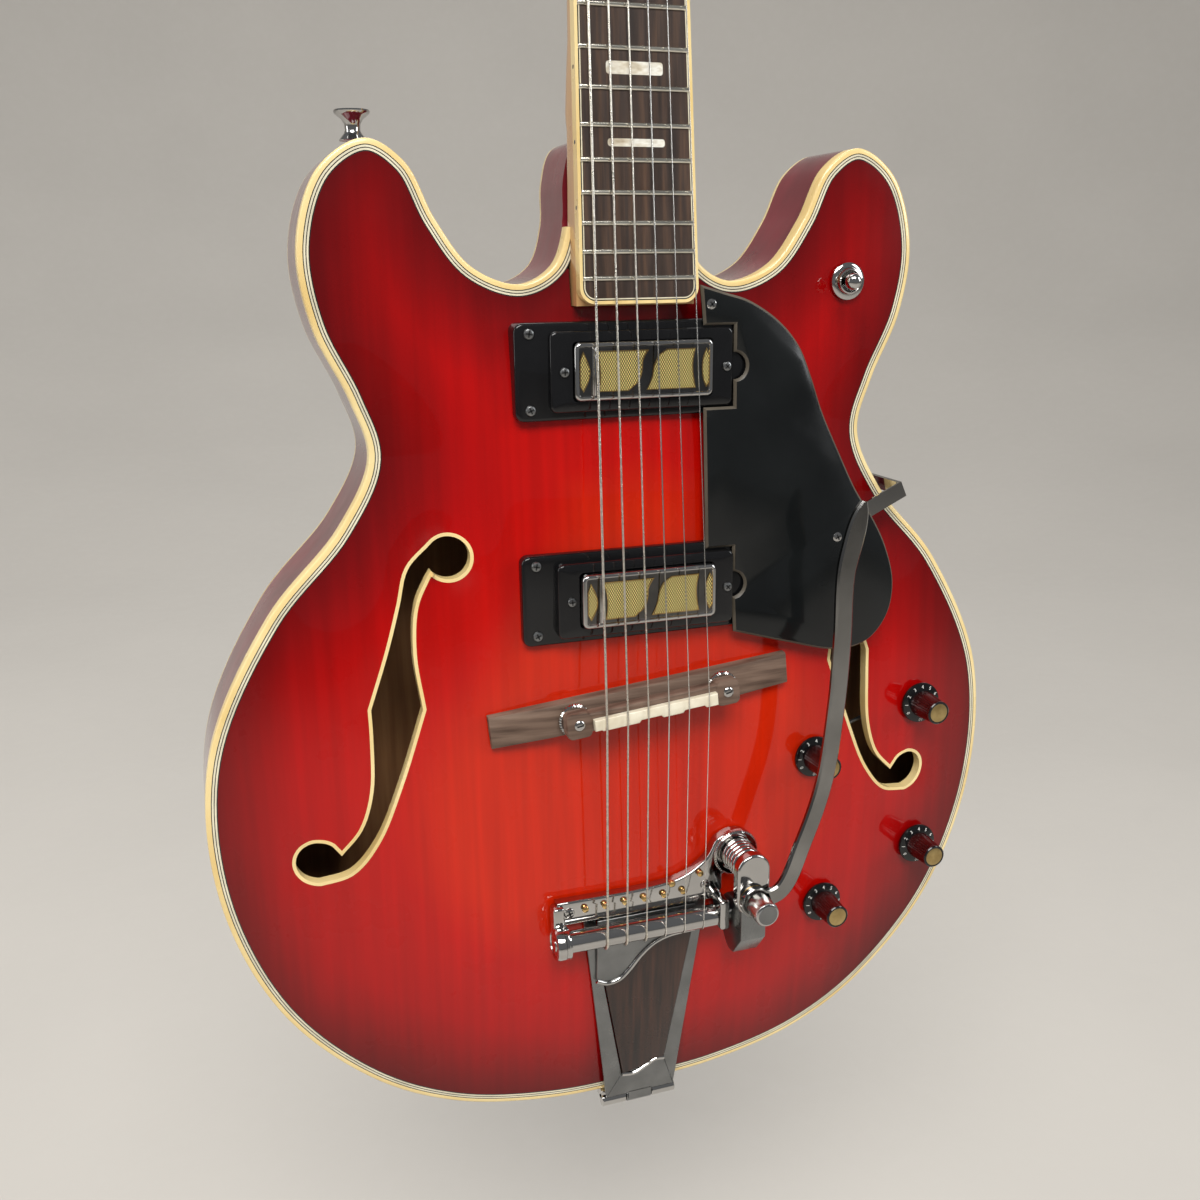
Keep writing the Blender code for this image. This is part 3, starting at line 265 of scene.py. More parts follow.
def lathe(profile, axis="Y", steps=48, centre=(0, 0, 0), ripple=None):
    """A turned shape from (radius, distance) pairs; ripple is (count, depth, first, last)."""
    rings = []
    for number, (radius, along) in enumerate(profile):
        ring = []
        for a in circle(steps):
            r = radius
            if ripple and ripple[2] <= number <= ripple[3]:
                r -= ripple[1] * (0.5 + 0.5 * math.cos(ripple[0] * a))
            u, v = r * math.cos(a), r * math.sin(a)
            place = {"X": (along, u, v), "Y": (u, along, v), "Z": (u, v, along)}[axis]
            ring.append(Vector(centre) + Vector(place))
        rings.append(ring)
    bm = loft(rings)
    bmesh.ops.remove_doubles(bm, verts=bm.verts, dist=1e-7)
    return bm


def block(low, high, bevel=0.0, segments=2):
    """A box between two corners, with rounded edges if it has a bevel."""
    bm = bmesh.new()
    bmesh.ops.create_cube(bm, size=1)
    for vert in bm.verts:
        vert.co = [low[i] + (vert.co[i] + 0.5) * (high[i] - low[i]) for i in range(3)]
    if bevel:
        bmesh.ops.bevel(bm, geom=bm.edges[:], offset=bevel, segments=segments, profile=0.5,
                        affect="EDGES")
    return bm


def pipe(path, radius, sides=12):
    """A round tube along 3-D points."""
    rings = []
    side = None
    for i, here in enumerate(path):
        ahead = (path[min(i + 1, len(path) - 1)] - path[max(i - 1, 0)]).normalized()
        if side is None:
            side = ahead.orthogonal().normalized()
        side = (side - ahead * side.dot(ahead)).normalized()
        other = ahead.cross(side)
        rings.append([here + (side * math.cos(a) + other * math.sin(a)) * radius
                      for a in circle(sides)])
    return loft(rings)


def linked(name, data):
    """A new object in the scene."""
    thing = bpy.data.objects.new(name, data)
    bpy.context.scene.collection.objects.link(thing)
    return thing


def top_y(tree, x, z):
    """Y of the arched top at a place seen from the front; off the top, Y of its highest point."""
    hit = tree.ray_cast(Vector((x, IN_FRONT, z)), Vector((0, 1, 0)))[0]
    return hit.y if hit else RIM_Y - ARCH_FRONT


def paint_faces(bm, numbers):
    """Give each face its own material index."""
    bm.faces.ensure_lookup_table()
    for face, number in zip(bm.faces, numbers):
        face.material_index = number


# ---- materials
def ramp(nodes, stops):
    """A colour ramp node with (position, colour) stops."""
    node = nodes.new("ShaderNodeValToRGB")
    elements = node.color_ramp.elements
    while len(elements) < len(stops):
        elements.new(0.5)
    for element, (position, colour) in zip(elements, stops):
        element.position = position
        element.color = (*colour, 1)
    return node


def noise(nodes, links, scale, stretch=(1, 1, 1), detail=4.0, turn=(0, 0, 0)):
    """A noise texture in object space, stretched and turned."""
    coords = nodes.new("ShaderNodeTexCoord")
    mapping = nodes.new("ShaderNodeMapping")
    mapping.inputs["Scale"].default_value = stretch
    mapping.inputs["Rotation"].default_value = turn
    texture = nodes.new("ShaderNodeTexNoise")
    texture.inputs["Scale"].default_value = scale
    texture.inputs["Detail"].default_value = detail
    links.new(coords.outputs["Object"], mapping.inputs["Vector"])
    links.new(mapping.outputs["Vector"], texture.inputs["Vector"])
    return texture


def tree_of(owner):
    """A material's or world's nodes and links."""
    owner.use_nodes = True
    return owner.node_tree.nodes, owner.node_tree.links


def math_node(nodes, links, operation, *inputs):
    """A maths node's output; each input is a number or another node's output."""
    node = nodes.new("ShaderNodeMath")
    node.operation = operation
    for socket, given in zip(node.inputs, inputs):
        if isinstance(given, float):
            socket.default_value = given
        else:
            links.new(given, socket)
    return node.outputs["Value"]


def material(name, stops, rough, metallic=0.0, grain=60, stretch=(1, 1, 1), bump=(900, 0.05),
             coat=0.0, coat_rough=0.04, specular=0.5, wear=0.25, turn=(0, 0, 0)):
    """A Principled material: colour, roughness and bump each vary with their own noise."""
    made = bpy.data.materials.new(name)
    nodes, links = tree_of(made)
    shader = nodes["Principled BSDF"]
    for socket, value in (("Metallic", metallic), ("Coat Weight", coat),
                          ("Coat Roughness", coat_rough), ("Specular IOR Level", specular)):
        shader.inputs[socket].default_value = value
    pattern = noise(nodes, links, grain, stretch, turn=turn)
    colours = ramp(nodes, stops)
    links.new(pattern.outputs["Fac"], colours.inputs["Fac"])
    links.new(colours.outputs["Color"], shader.inputs["Base Color"])
    smudges = noise(nodes, links, 35, detail=6.0)
    spread = nodes.new("ShaderNodeMapRange")
    for socket, value in (("From Min", 0.3), ("From Max", 0.7), ("To Min", rough * (1 - wear)),
                          ("To Max", rough * (1 + wear))):
        spread.inputs[socket].default_value = value
    links.new(smudges.outputs["Fac"], spread.inputs["Value"])
    links.new(spread.outputs["Result"], shader.inputs["Roughness"])
    fine = noise(nodes, links, bump[0], stretch, detail=3.0, turn=turn)
    dents = nodes.new("ShaderNodeBump")
    dents.inputs["Strength"].default_value = bump[1]
    dents.inputs["Distance"].default_value = 0.0002
    links.new(fine.outputs["Fac"], dents.inputs["Height"])
    links.new(dents.outputs["Normal"], shader.inputs["Normal"])
    return made


def two(colour, low=0.85, high=1.12):
    """Colour stops that vary one colour a little."""
    return [(position, tuple(c * factor for c in colour))
            for position, factor in ((0.32, low), (0.68, high))]


def make_top_material():
    """Red sunburst under clear lacquer: colour runs with the distance from the edge."""
    made = material("red_sunburst", two((0.5, 0.0, 0.0)), 0.3, grain=30, stretch=(6, 1, 0.25),
        bump=(60, 0.006), coat=0.65, coat_rough=0.02, specular=0.08, wear=0.2)
    nodes, links = tree_of(made)
    shader = nodes["Principled BSDF"]
    distance = nodes.new("ShaderNodeAttribute")
    distance.attribute_name = "burst"
    clouds = noise(nodes, links, 9, (1, 1, 0.6), detail=3.0)
    shift = math_node(nodes, links, "MULTIPLY_ADD", clouds.outputs["Fac"], 0.3, -0.15)
    total = math_node(nodes, links, "ADD", distance.outputs["Fac"], shift)
    colours = ramp(nodes, ((0.0, (0.11, 0.0005, 0.0015)), (0.14, (0.2, 0.0008, 0.0015)), (0.4,
        (0.41, 0.0008, 0.0008)), (0.75, (0.52, 0.003, 0.0008)), (1.0, (0.6, 0.018, 0.0015))))
    links.new(total, colours.inputs["Fac"])
    streaks = noise(nodes, links, 22, (9, 1, 0.35), detail=5.0)
    tone = ramp(nodes, ((0.3, (0.8, 0.8, 0.8)), (0.7, (1.0, 1.0, 1.0))))
    links.new(streaks.outputs["Fac"], tone.inputs["Fac"])
    mix = nodes.new("ShaderNodeMixRGB")
    mix.blend_type = "MULTIPLY"
    mix.inputs["Fac"].default_value = 1.0
    links.new(colours.outputs["Color"], mix.inputs["Color1"])
    links.new(tone.outputs["Color"], mix.inputs["Color2"])
    links.new(mix.outputs["Color"], shader.inputs["Base Color"])
    return made


def make_mesh_material():
    """Gold mesh: staggered round holes in a thin metal sheet, painted dark and unmetallic as the shade
    seen through them.
    """
    made = material("gold_mesh", two((0.78, 0.56, 0.2)), 0.36, metallic=1.0, bump=(900, 0.02))
    nodes, links = tree_of(made)
    shader = nodes["Principled BSDF"]
    coords = nodes.new("ShaderNodeTexCoord")
    cell_distances = []
    for offset in (0.0, 0.5):
        mapping = nodes.new("ShaderNodeMapping")
        mapping.inputs["Rotation"].default_value = (math.pi / 2, 0, 0)
        mapping.inputs["Scale"].default_value = (HOLES_PER_METRE, 1, HOLES_PER_METRE / 1.7)
        mapping.inputs["Location"].default_value = (offset, offset, 0)
        cells = nodes.new("ShaderNodeTexVoronoi")
        cells.voronoi_dimensions = "2D"
        cells.inputs["Scale"].default_value = 1.0
        cells.inputs["Randomness"].default_value = 0.0
        links.new(coords.outputs["Object"], mapping.inputs["Vector"])
        links.new(mapping.outputs["Vector"], cells.inputs["Vector"])
        cell_distances.append(cells.outputs["Distance"])
    nearest = math_node(nodes, links, "MINIMUM", *cell_distances)
    # painted shade: the holes get a dark colour and no metal, standing in for the shade behind a real
    # mesh
    holes = ramp(nodes, ((0.27, (0.04, 0.025, 0.008)), (0.38, (1.0, 0.82, 0.3))))
    links.new(nearest, holes.inputs["Fac"])
    links.new(holes.outputs["Color"], shader.inputs["Base Color"])
    metal = ramp(nodes, ((0.25, (0, 0, 0)), (0.36, (0.3, 0.3, 0.3))))
    links.new(nearest, metal.inputs["Fac"])
    links.new(metal.outputs["Color"], shader.inputs["Metallic"])
    return made


M = {
    "top": make_top_material(),
    "side": material("cherry_lacquer", two((0.15, 0.0065, 0.016), 0.7, 1.25), 0.32,
                     grain=14, stretch=(3, 3, 0.5), bump=(60, 0.006), coat=0.9, specular=0.12),
    "inner": material("bare_wood", ((0.3, (0.2, 0.085, 0.03)), (0.7, (0.34, 0.16, 0.062))), 0.75,
                      grain=40, stretch=(6, 2, 0.3), bump=(500, 0.3)),
    "cream": material("cream_binding", ((0.3, (0.78, 0.56, 0.22)), (0.7, (0.9, 0.72, 0.36))),
                      0.28, grain=25, bump=(300, 0.05), coat=0.5),
    "white_line": material("white_purfling", two((0.74, 0.68, 0.5)), 0.3, coat=0.5),
    "black_line": material("black_purfling", two((0.012, 0.01, 0.009)), 0.3, coat=0.5),
    "maple": material("amber_maple", ((0.3, (0.44, 0.225, 0.085)), (0.72, (0.66, 0.39, 0.17))),
                      0.33, grain=18, stretch=(7, 5, 0.35), bump=(600, 0.05), coat=0.7),
    "rosewood": material("rosewood", ((0.28, (0.02, 0.012, 0.009)), (0.5, (0.04, 0.023, 0.016)),
                                      (0.74, (0.085, 0.045, 0.026))), 0.5,
                         grain=60, stretch=(7, 4, 0.22), bump=(1200, 0.35), specular=0.35),
    "panel_wood": material("dark_panel", ((0.3, (0.008, 0.004, 0.003)), (0.7, (0.05, 0.018, 0.01))),
                           0.3, grain=45, stretch=(9, 5, 0.35), bump=(900, 0.25), coat=0.25,
                           coat_rough=0.2),
    "bridge_wood": material("bridge_wood", ((0.25, (0.06, 0.034, 0.023)),
                                            (0.5, (0.155, 0.1, 0.072)),
                                            (0.74, (0.235, 0.16, 0.118))), 0.62,
                            grain=80, stretch=(0.18, 3, 4.5), bump=(1200, 0.5), specular=0.3,
                            turn=(0, BRIDGE_ANGLE, 0)),
    "fret": material("nickel_silver", two((0.74, 0.71, 0.62)), 0.2, metallic=1.0,
                     bump=(1500, 0.05)),
    "chrome": material("chrome", two((0.5, 0.49, 0.475), 0.88, 1.1), 0.075, metallic=1.0,
                       grain=20, bump=(180, 0.02), wear=0.6),
    "smoked": material("smoked_chrome", two((0.13, 0.125, 0.12), 0.8, 1.3), 0.1, metallic=1.0,
                       bump=(200, 0.02), wear=0.5),
    "satin": material("worn_chrome", two((0.22, 0.225, 0.225), 0.85, 1.15), 0.3, metallic=1.0,
                      grain=60, bump=(800, 0.1), wear=0.3),
    "wound": material("wound_wire", two((0.72, 0.68, 0.6)), 0.28, metallic=1.0,
                      grain=900, stretch=(0.2, 0.2, 1), bump=(2600, 0.8)),
    "arm": material("brushed_arm", two((0.24, 0.235, 0.225), 0.8, 1.2), 0.15, metallic=1.0,
                    grain=30, bump=(500, 0.05), wear=0.4),
    "plain_steel": material("plain_steel", two((0.74, 0.72, 0.68)), 0.2, metallic=1.0,
                            bump=(1500, 0.05)),
    "brass": material("brass", ((0.3, (0.48, 0.3, 0.1)), (0.7, (0.78, 0.56, 0.24))), 0.24,
                      metallic=1.0, bump=(900, 0.08)),
    "gold_cap": material("gold_cap", ((0.3, (0.32, 0.22, 0.085)), (0.7, (0.5, 0.37, 0.16))), 0.36,
                         metallic=0.9, grain=200, bump=(1500, 0.12)),
    "mesh": make_mesh_material(),
    "black": material("black_plastic", two((0.0055, 0.0055, 0.006), 0.8, 1.3), 0.14,
                      grain=40, bump=(120, 0.02), coat=0.55, specular=0.15, wear=0.5),
    "guard": material("guard_black", two((0.006, 0.0068, 0.007), 0.8, 1.3), 0.2,
                      grain=30, bump=(120, 0.02), coat=0.35, coat_rough=0.08, specular=0.15,
                      wear=0.5),
    "ply": material("guard_ply", two((0.085, 0.07, 0.05)), 0.5, bump=(1200, 0.2)),
    "ivory": material("aged_white", ((0.3, (0.66, 0.58, 0.42)), (0.7, (0.84, 0.78, 0.62))), 0.34,
                      grain=120, bump=(500, 0.1), coat=0.3),
    "pearl": material("pearl", ((0.25, (0.3, 0.22, 0.13)), (0.45, (0.62, 0.55, 0.42)),
                                (0.6, (0.86, 0.84, 0.76)), (0.75, (0.5, 0.42, 0.3))), 0.22,
                      grain=95, stretch=(1, 1, 2.2), bump=(500, 0.05), coat=1.0),
    "knob": material("oxblood_plastic", ((0.3, (0.02, 0.0022, 0.0022)), (0.7, (0.06, 0.0065, 0.006))),
                     0.2, grain=140, stretch=(1, 1, 0.6), bump=(600, 0.06), coat=0.9),
    "dial": material("dial_white", two((0.8, 0.8, 0.76)), 0.4),
    # painted shadow: near-black colour for slots, grooves and holes, standing in for the shade inside
    # them
    "shadow": material("painted_recess_shadow", two((0.004, 0.004, 0.004)), 0.6),
}


class Piece:
    """One visible object, gathered from several shapes, each with its own material."""

    def __init__(self, name):
        self.name = name
        self.whole = bmesh.new()
        self.materials = []

    def index(self, key):
        if key not in self.materials:
            self.materials.append(key)
        return self.materials.index(key)

    def add(self, bm, key, matrix=None):
        """Add a shape in one material, or keep the shape's own indices if key is None."""
        if key is not None:
            number = self.index(key)
            for face in bm.faces:
                face.material_index = number
        if matrix is not None:
            bmesh.ops.transform(bm, matrix=matrix, verts=bm.verts)
        mesh = bpy.data.meshes.new("shape")
        bm.to_mesh(mesh)
        bm.free()
        self.whole.from_mesh(mesh)
        bpy.data.meshes.remove(mesh)
        return self

    def place(self, body="guitar", instead_of=(), smooth=32, slot=None):
        """Turn it into an object that rides on a body."""
        bmesh.ops.remove_doubles(self.whole, verts=self.whole.verts, dist=2e-7)
        mesh = bpy.data.meshes.new(self.name)
        self.whole.to_mesh(mesh)
        self.whole.free()
        for key in self.materials:
            mesh.materials.append(M[key])
        mesh.shade_smooth()
        mesh.set_sharp_from_angle(angle=math.radians(smooth))
        thing = linked(self.name, mesh)
        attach(thing, body)
        if instead_of:
            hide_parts(*instead_of)
        return thing


def screw(piece, centre, radius, height, turn=0.5, axis=(0, -1, 0), metal="chrome", slot_only=False):
    """A domed screw head with a cross or a single slot, facing along an axis; each slot is a dark bar
    of painted shadow, not a cut.
    """
    profile = ((0.0, 0.0), (radius, 0.0), (radius, height * 0.35), (radius * 0.86, height * 0.75),
        (radius * 0.55, height * 0.97), (radius * 0.2, height), (0.0, height))
    frame_at = (Matrix.Translation(centre)
                @ Vector((0, 0, 1)).rotation_difference(Vector(axis)).to_matrix().to_4x4()
                @ Matrix.Rotation(turn, 4, "Z"))
    piece.add(lathe(profile, "Z", 20), metal, frame_at)
    long, thin = radius * 0.62, radius * 0.15
    # the slot is not cut: a dark bar of painted shadow stands in for the shade inside it
    piece.add(block((-long, -thin, height * 0.6), (long, thin, height * 1.02)), "shadow", frame_at)
    if not slot_only:
        piece.add(block((-thin, -long, height * 0.6), (thin, long, height * 1.02)), "shadow",
                  frame_at)


# ---- body
BASS_CURVE = tuple((-x, z) for x, z in reversed(BODY_CURVE[1:]))
OUTLINE = smooth_path(BODY_CURVE + BASS_CURVE, 10, closed=True)
POCKET_HALF = END_HALF + 2 * GAP
POCKET_END = -0.4536
POCKET_FLOOR = -0.0205
WALL_FRONT = RIM_Y + BINDING_DEPTH
WALL_BACK = BACK_Y - BACK_THICKNESS
PURFLING = ((0.0024, "black_line"), (0.0028, "white_line"), (0.0036, "black_line"),
            (0.004, "white_line"), (0.0048, "black_line"))


def distances(points, loop):
    """Distance from each of many 2-D points to a closed outline."""
    where = np.array([tuple(p) for p in points])
    start = np.array([tuple(p) for p in loop])
    run = np.roll(start, -1, axis=0) - start
    best = np.full(len(where), 9.0)
    for a, r in zip(start, run):
        share = np.clip(((where - a) @ r) / (r @ r), 0, 1)
        best = np.minimum(best, np.linalg.norm(where - a - share[:, None] * r, axis=1))
    return best


def inside(points, loop):
    """Which of many 2-D points lie inside a closed outline."""
    where = np.array([tuple(p) for p in points])
    ring = np.array([tuple(p) for p in loop])
    hit = np.zeros(len(where), bool)
    for (x0, z0), (x1, z1) in zip(ring, np.roll(ring, -1, axis=0)):
        crosses = (z0 > where[:, 1]) != (z1 > where[:, 1])
        slope = (x1 - x0) / (z1 - z0) if z1 != z0 else 0.0
        hit ^= crosses & (where[:, 0] < x0 + (where[:, 1] - z0) * slope)
    return hit


def swell(distance, height):
    """How far an arched plate stands out at a distance from the edge."""
    share = np.minimum(1.0, distance / ARCH_RUN)
    return height * (1 - (1 - share) ** 2) ** ARCH_POWER


def arched_sheet(outer, holes, spacing, level, height, thickness, shift):
    """A smooth arched plate; its burst attribute holds the distance from the edge."""
    points, edges = [], []
    for loop in [outer] + holes:
        start = len(points)
        points += [Vector(p[:2]) for p in loop]
        edges += [(start + i, start + (i + 1) % len(loop)) for i in range(len(loop))]
    grid = []
    for row in range(int(GRID_SIZE[1] / (spacing * ROW_STEP))):
        for column in range(int(GRID_SIZE[0] / spacing)):
            grid.append((GRID_START[0] + (column + 0.5 * (row % 2)) * spacing,
                         GRID_START[1] + row * spacing * ROW_STEP))
    keep = inside(grid, outer) & (distances(grid, outer) > spacing * 0.5)
    for hole in holes:
        keep &= ~inside(grid, hole) & (distances(grid, hole) > spacing * 0.5)
    points += [Vector(p) for p, wish in zip(grid, keep) if wish]
    found, _, faces, *_ = delaunay_2d_cdt(points, edges, [], 0, 1e-7)
    middles = [sum((found[i] for i in face), Vector((0, 0))) / len(face) for face in faces]
    wanted = inside(middles, outer)
    for hole in holes:
        wanted &= ~inside(middles, hole)
    faces = [face for face, wish in zip(faces, wanted) if wish]
    far = distances(found, OUTLINE)
    bm = bmesh.new()
    burst = bm.verts.layers.float.new("burst")
    verts = []
    for p, d, lift in zip(found, far, swell(far, height)):
        vert = bm.verts.new((p.x, level + lift, p.y))
        vert[burst] = min(1.0, d / ARCH_RUN)
        verts.append(vert)
    for face in faces:
        bm.faces.new([verts[i] for i in face])
    soft = [vert for vert, d in zip(verts, far) if d > FIRM_EDGE]
    for _ in range(SMOOTH_ROUNDS):
        bmesh.ops.smooth_vert(bm, verts=soft, factor=0.5, use_axis_x=False, use_axis_y=True,
                              use_axis_z=False)
    tree = BVHTree.FromBMesh(bm)
    made = bmesh.ops.extrude_face_region(bm, geom=bm.faces[:])["geom"]
    for item in made:
        if isinstance(item, bmesh.types.BMVert):
            item.co.y += thickness * shift
        elif isinstance(item, bmesh.types.BMFace):
            item.material_index = 1
    bmesh.ops.recalc_face_normals(bm, faces=bm.faces)
    return bm, tree


def sound_hole(side, grow=0.0):
    """Outline of a sound hole, anticlockwise: side is -1 for bass, 1 for treble."""
    top = arc((-0.0885, -0.561), 0.0096, 212, 500, 40)
    outer = smooth_path((top[-1], (-0.1062, -0.5655), (-0.111, -0.582), (-0.1172, -0.602),
        (-0.1268, -0.6284)), 6)[1:]
    lower_left = smooth_path((outer[-1], (-0.1268, -0.642), (-0.1284, -0.668), (-0.1345, -0.686),
        (-0.1446, -0.6972)), 6)[1:]
    low = arc((-0.155, -0.6996), 0.0102, 50, 270, 32)
    inner = smooth_path((low[-1], (-0.1412, -0.7065), (-0.1285, -0.692), (-0.1165, -0.665),
        (-0.104, -0.6298)), 6)[1:]
    upper_right = smooth_path((inner[-1], (-0.1068, -0.604), (-0.1046, -0.5815),
        (-0.0975, -0.5668)), 6)[1:-1]
    outline = top + outer + lower_left + low + inner + upper_right
    if side > 0:
        outline = [Vector((-p.x, p.y)) for p in reversed(outline)]
    return inset(outline, -grow)


def trimmed_outline(distance):
    """The body's outline moved inwards, cut off where the neck's pocket crosses it."""
    line = [p for p in inset(OUTLINE, distance) if abs(p.x) > POCKET_HALF or p.y < POCKET_END]
    turn = next(i for i, p in enumerate(line) if p.x > 0 and line[(i + 1) % len(line)].x < 0
                and p.y > -0.5)
    corners = [Vector((POCKET_HALF, line[turn].y)), Vector((POCKET_HALF, POCKET_END)),
               Vector((-POCKET_HALF, POCKET_END)), Vector((-POCKET_HALF, line[turn].y))]
    return line[:turn + 1] + corners + line[turn + 1:]


def build_body():
    """Arched top and back, sides, bindings with their fine lines, and the edged sound holes."""
    rims = [sound_hole(side, 0.0015) for side in (-1, 1)]
    top = Piece("top_plate_shell")
    top.index("top")
    top.index("inner")
    sheet, tree = arched_sheet(trimmed_outline(BINDING_WIDTH), rims, 0.0045, RIM_Y, -ARCH_FRONT,
                               TOP_THICKNESS, 1)
    top.add(sheet, None).place(instead_of=("top_plate",), slot="cherry_top", smooth=40)
    back = Piece("back_plate_shell")
    back.index("side")
    back.index("inner")
    sheet, _ = arched_sheet(inset(OUTLINE, 0.0025), [], 0.0055, BACK_Y, ARCH_BACK,
                            BACK_THICKNESS, -1)
    back.add(sheet, None).place(instead_of=("back_plate",), slot="cherry_side", smooth=40)

    walls = Piece("sides")
    rings = []
    for outer, inner in zip(OUTLINE, inset(OUTLINE, 0.003)):
        front = POCKET_FLOOR if abs(outer.x) < POCKET_HALF and outer.y > POCKET_END else WALL_FRONT
        rings.append([Vector((outer.x, front, outer.y)), Vector((outer.x, WALL_BACK, outer.y)),
                      Vector((inner.x, WALL_BACK, inner.y)), Vector((inner.x, front, inner.y))])
    walls.add(loft(rings, closed=True), "side")
    walls.place(instead_of=("side_rim",), slot="cherry_side", smooth=50)

    binding = Piece("top_edge_binding")
    stops = [(0.0, WALL_FRONT, "cream"), (0.0, RIM_Y + 0.001, "cream"),
        (0.0003, RIM_Y + 0.0003, "cream"), (0.001, RIM_Y, "cream")]
    stops += [(d, RIM_Y - float(swell(d, ARCH_FRONT)), key) for d, key in PURFLING]
    stops += [(BINDING_WIDTH, RIM_Y - float(swell(BINDING_WIDTH, ARCH_FRONT)), "cream"),
              (BINDING_WIDTH, WALL_FRONT, "cream")]
    lines = [inset(OUTLINE, d) for d, *_ in stops]
    rings = []
    start = next(i for i, p in enumerate(OUTLINE) if p.x < -POCKET_HALF and p.y > -0.45
                 and OUTLINE[i - 1].x >= -POCKET_HALF)
    for step in range(len(OUTLINE)):
        i = (start + step) % len(OUTLINE)
        if abs(OUTLINE[i].x) > POCKET_HALF or OUTLINE[i].y < POCKET_END:
            rings.append([Vector((line[i].x, y, line[i].y)) for line, (_, y, _) in zip(lines, stops)])
    bm = loft(rings)
    bands = [binding.index(key) for *_, key in stops]
    paint_faces(bm, [0, 0] + bands * (len(rings) - 1))
    binding.add(bm, None).place(instead_of=("top_binding",), slot="cream_binding", smooth=50)

    edge = Piece("back_edge_binding")
    rings = []
    for outer, soft, inner in zip(OUTLINE, inset(OUTLINE, 0.0008), inset(OUTLINE, 0.0025)):
        rings.append([Vector((outer.x, WALL_BACK, outer.y)),
                      Vector((outer.x, BACK_Y - 0.0008, outer.y)), Vector((soft.x, BACK_Y, soft.y)),
                      Vector((inner.x, BACK_Y + 0.0001, inner.y)),
                      Vector((inner.x, WALL_BACK, inner.y))])
    edge.add(loft(rings, closed=True), "cream")
    edge.place(instead_of=("back_binding",), slot="cream_binding", smooth=50)

    for side, name in ((-1, "bass"), (1, "treble")):
        rim = Piece(f"sound_hole_edge_{name}")
        inner = sound_hole(side)
        outer = sound_hole(side, 0.0016)
        rings = []
        for a, b in zip(inner, outer):
            beside = b + (b - a) * 0.6
            front = top_y(tree, beside.x, beside.y) - 0.0001
            back = front + 0.0053
            rings.append([Vector((b.x, front, b.y)), Vector((a.x, front, a.y)),
                          Vector((a.x, back, a.y)), Vector((b.x, back, b.y))])
        rim.add(loft(rings, closed=True), "cream").place(slot="cream_binding", smooth=50)
    return tree


# ---- neck
HEAD_FRAME = Matrix.Translation(HEAD_ORIGIN) @ Matrix.Rotation(-HEAD_TILT, 4, "X")
NECK_STATIONS = ((-0.4533, None, 9.0), (-0.3805, None, 9.0), (-0.37, 0.019, 4.5),
                 (-0.345, 0.0172, 2.8), (-0.3, 0.0164, 2.2), (-0.15, 0.015, 2.1),
                 (0.0, 0.0145, 2.1), (0.006, 0.015, 2.4))


def heel_depth(z):
    """Depth of the neck's heel, whose back lies on the pocket's floor."""
    return POCKET_FLOOR - GAP - (board_y(z) + BOARD_THICKNESS + GAP)


def head_outline():
    """Headstock, seen from the front in its own plane."""
    right = smooth_path(((NUT_HALF, 0.0), (0.0222, 0.01), (0.03, 0.026), (0.035, 0.042),
        (0.0385, 0.1), (0.0405, 0.14), (0.037, 0.163), (0.02, 0.172), (0.0, 0.168)), 8)
    return right + [Vector((-p.x, p.y)) for p in reversed(right[:-1])]


def board_outline(inwards):
    """Fretboard with round corners at its end, seen from the front."""
    corner = 0.007
    half = board_half(BOARD_END) - corner
    nut_half = NUT_HALF - inwards
    return ([Vector((nut_half, 0.0)), Vector((-nut_half, 0.0))] + arc((-half, BOARD_END + corner),
        corner - inwards, 180, 270, 12) + arc((half, BOARD_END + corner), corner - inwards, 270,
        360, 12))


def string_x(number, half):
    """X of one of six strings, counted from the bass side, spread evenly over twice a half width."""
    return half * (number / 2.5 - 1)


def fret_z(number):
    """Z of a fret below the nut."""
    return SCALE_LENGTH * (2 ** (-number / 12) - 1)


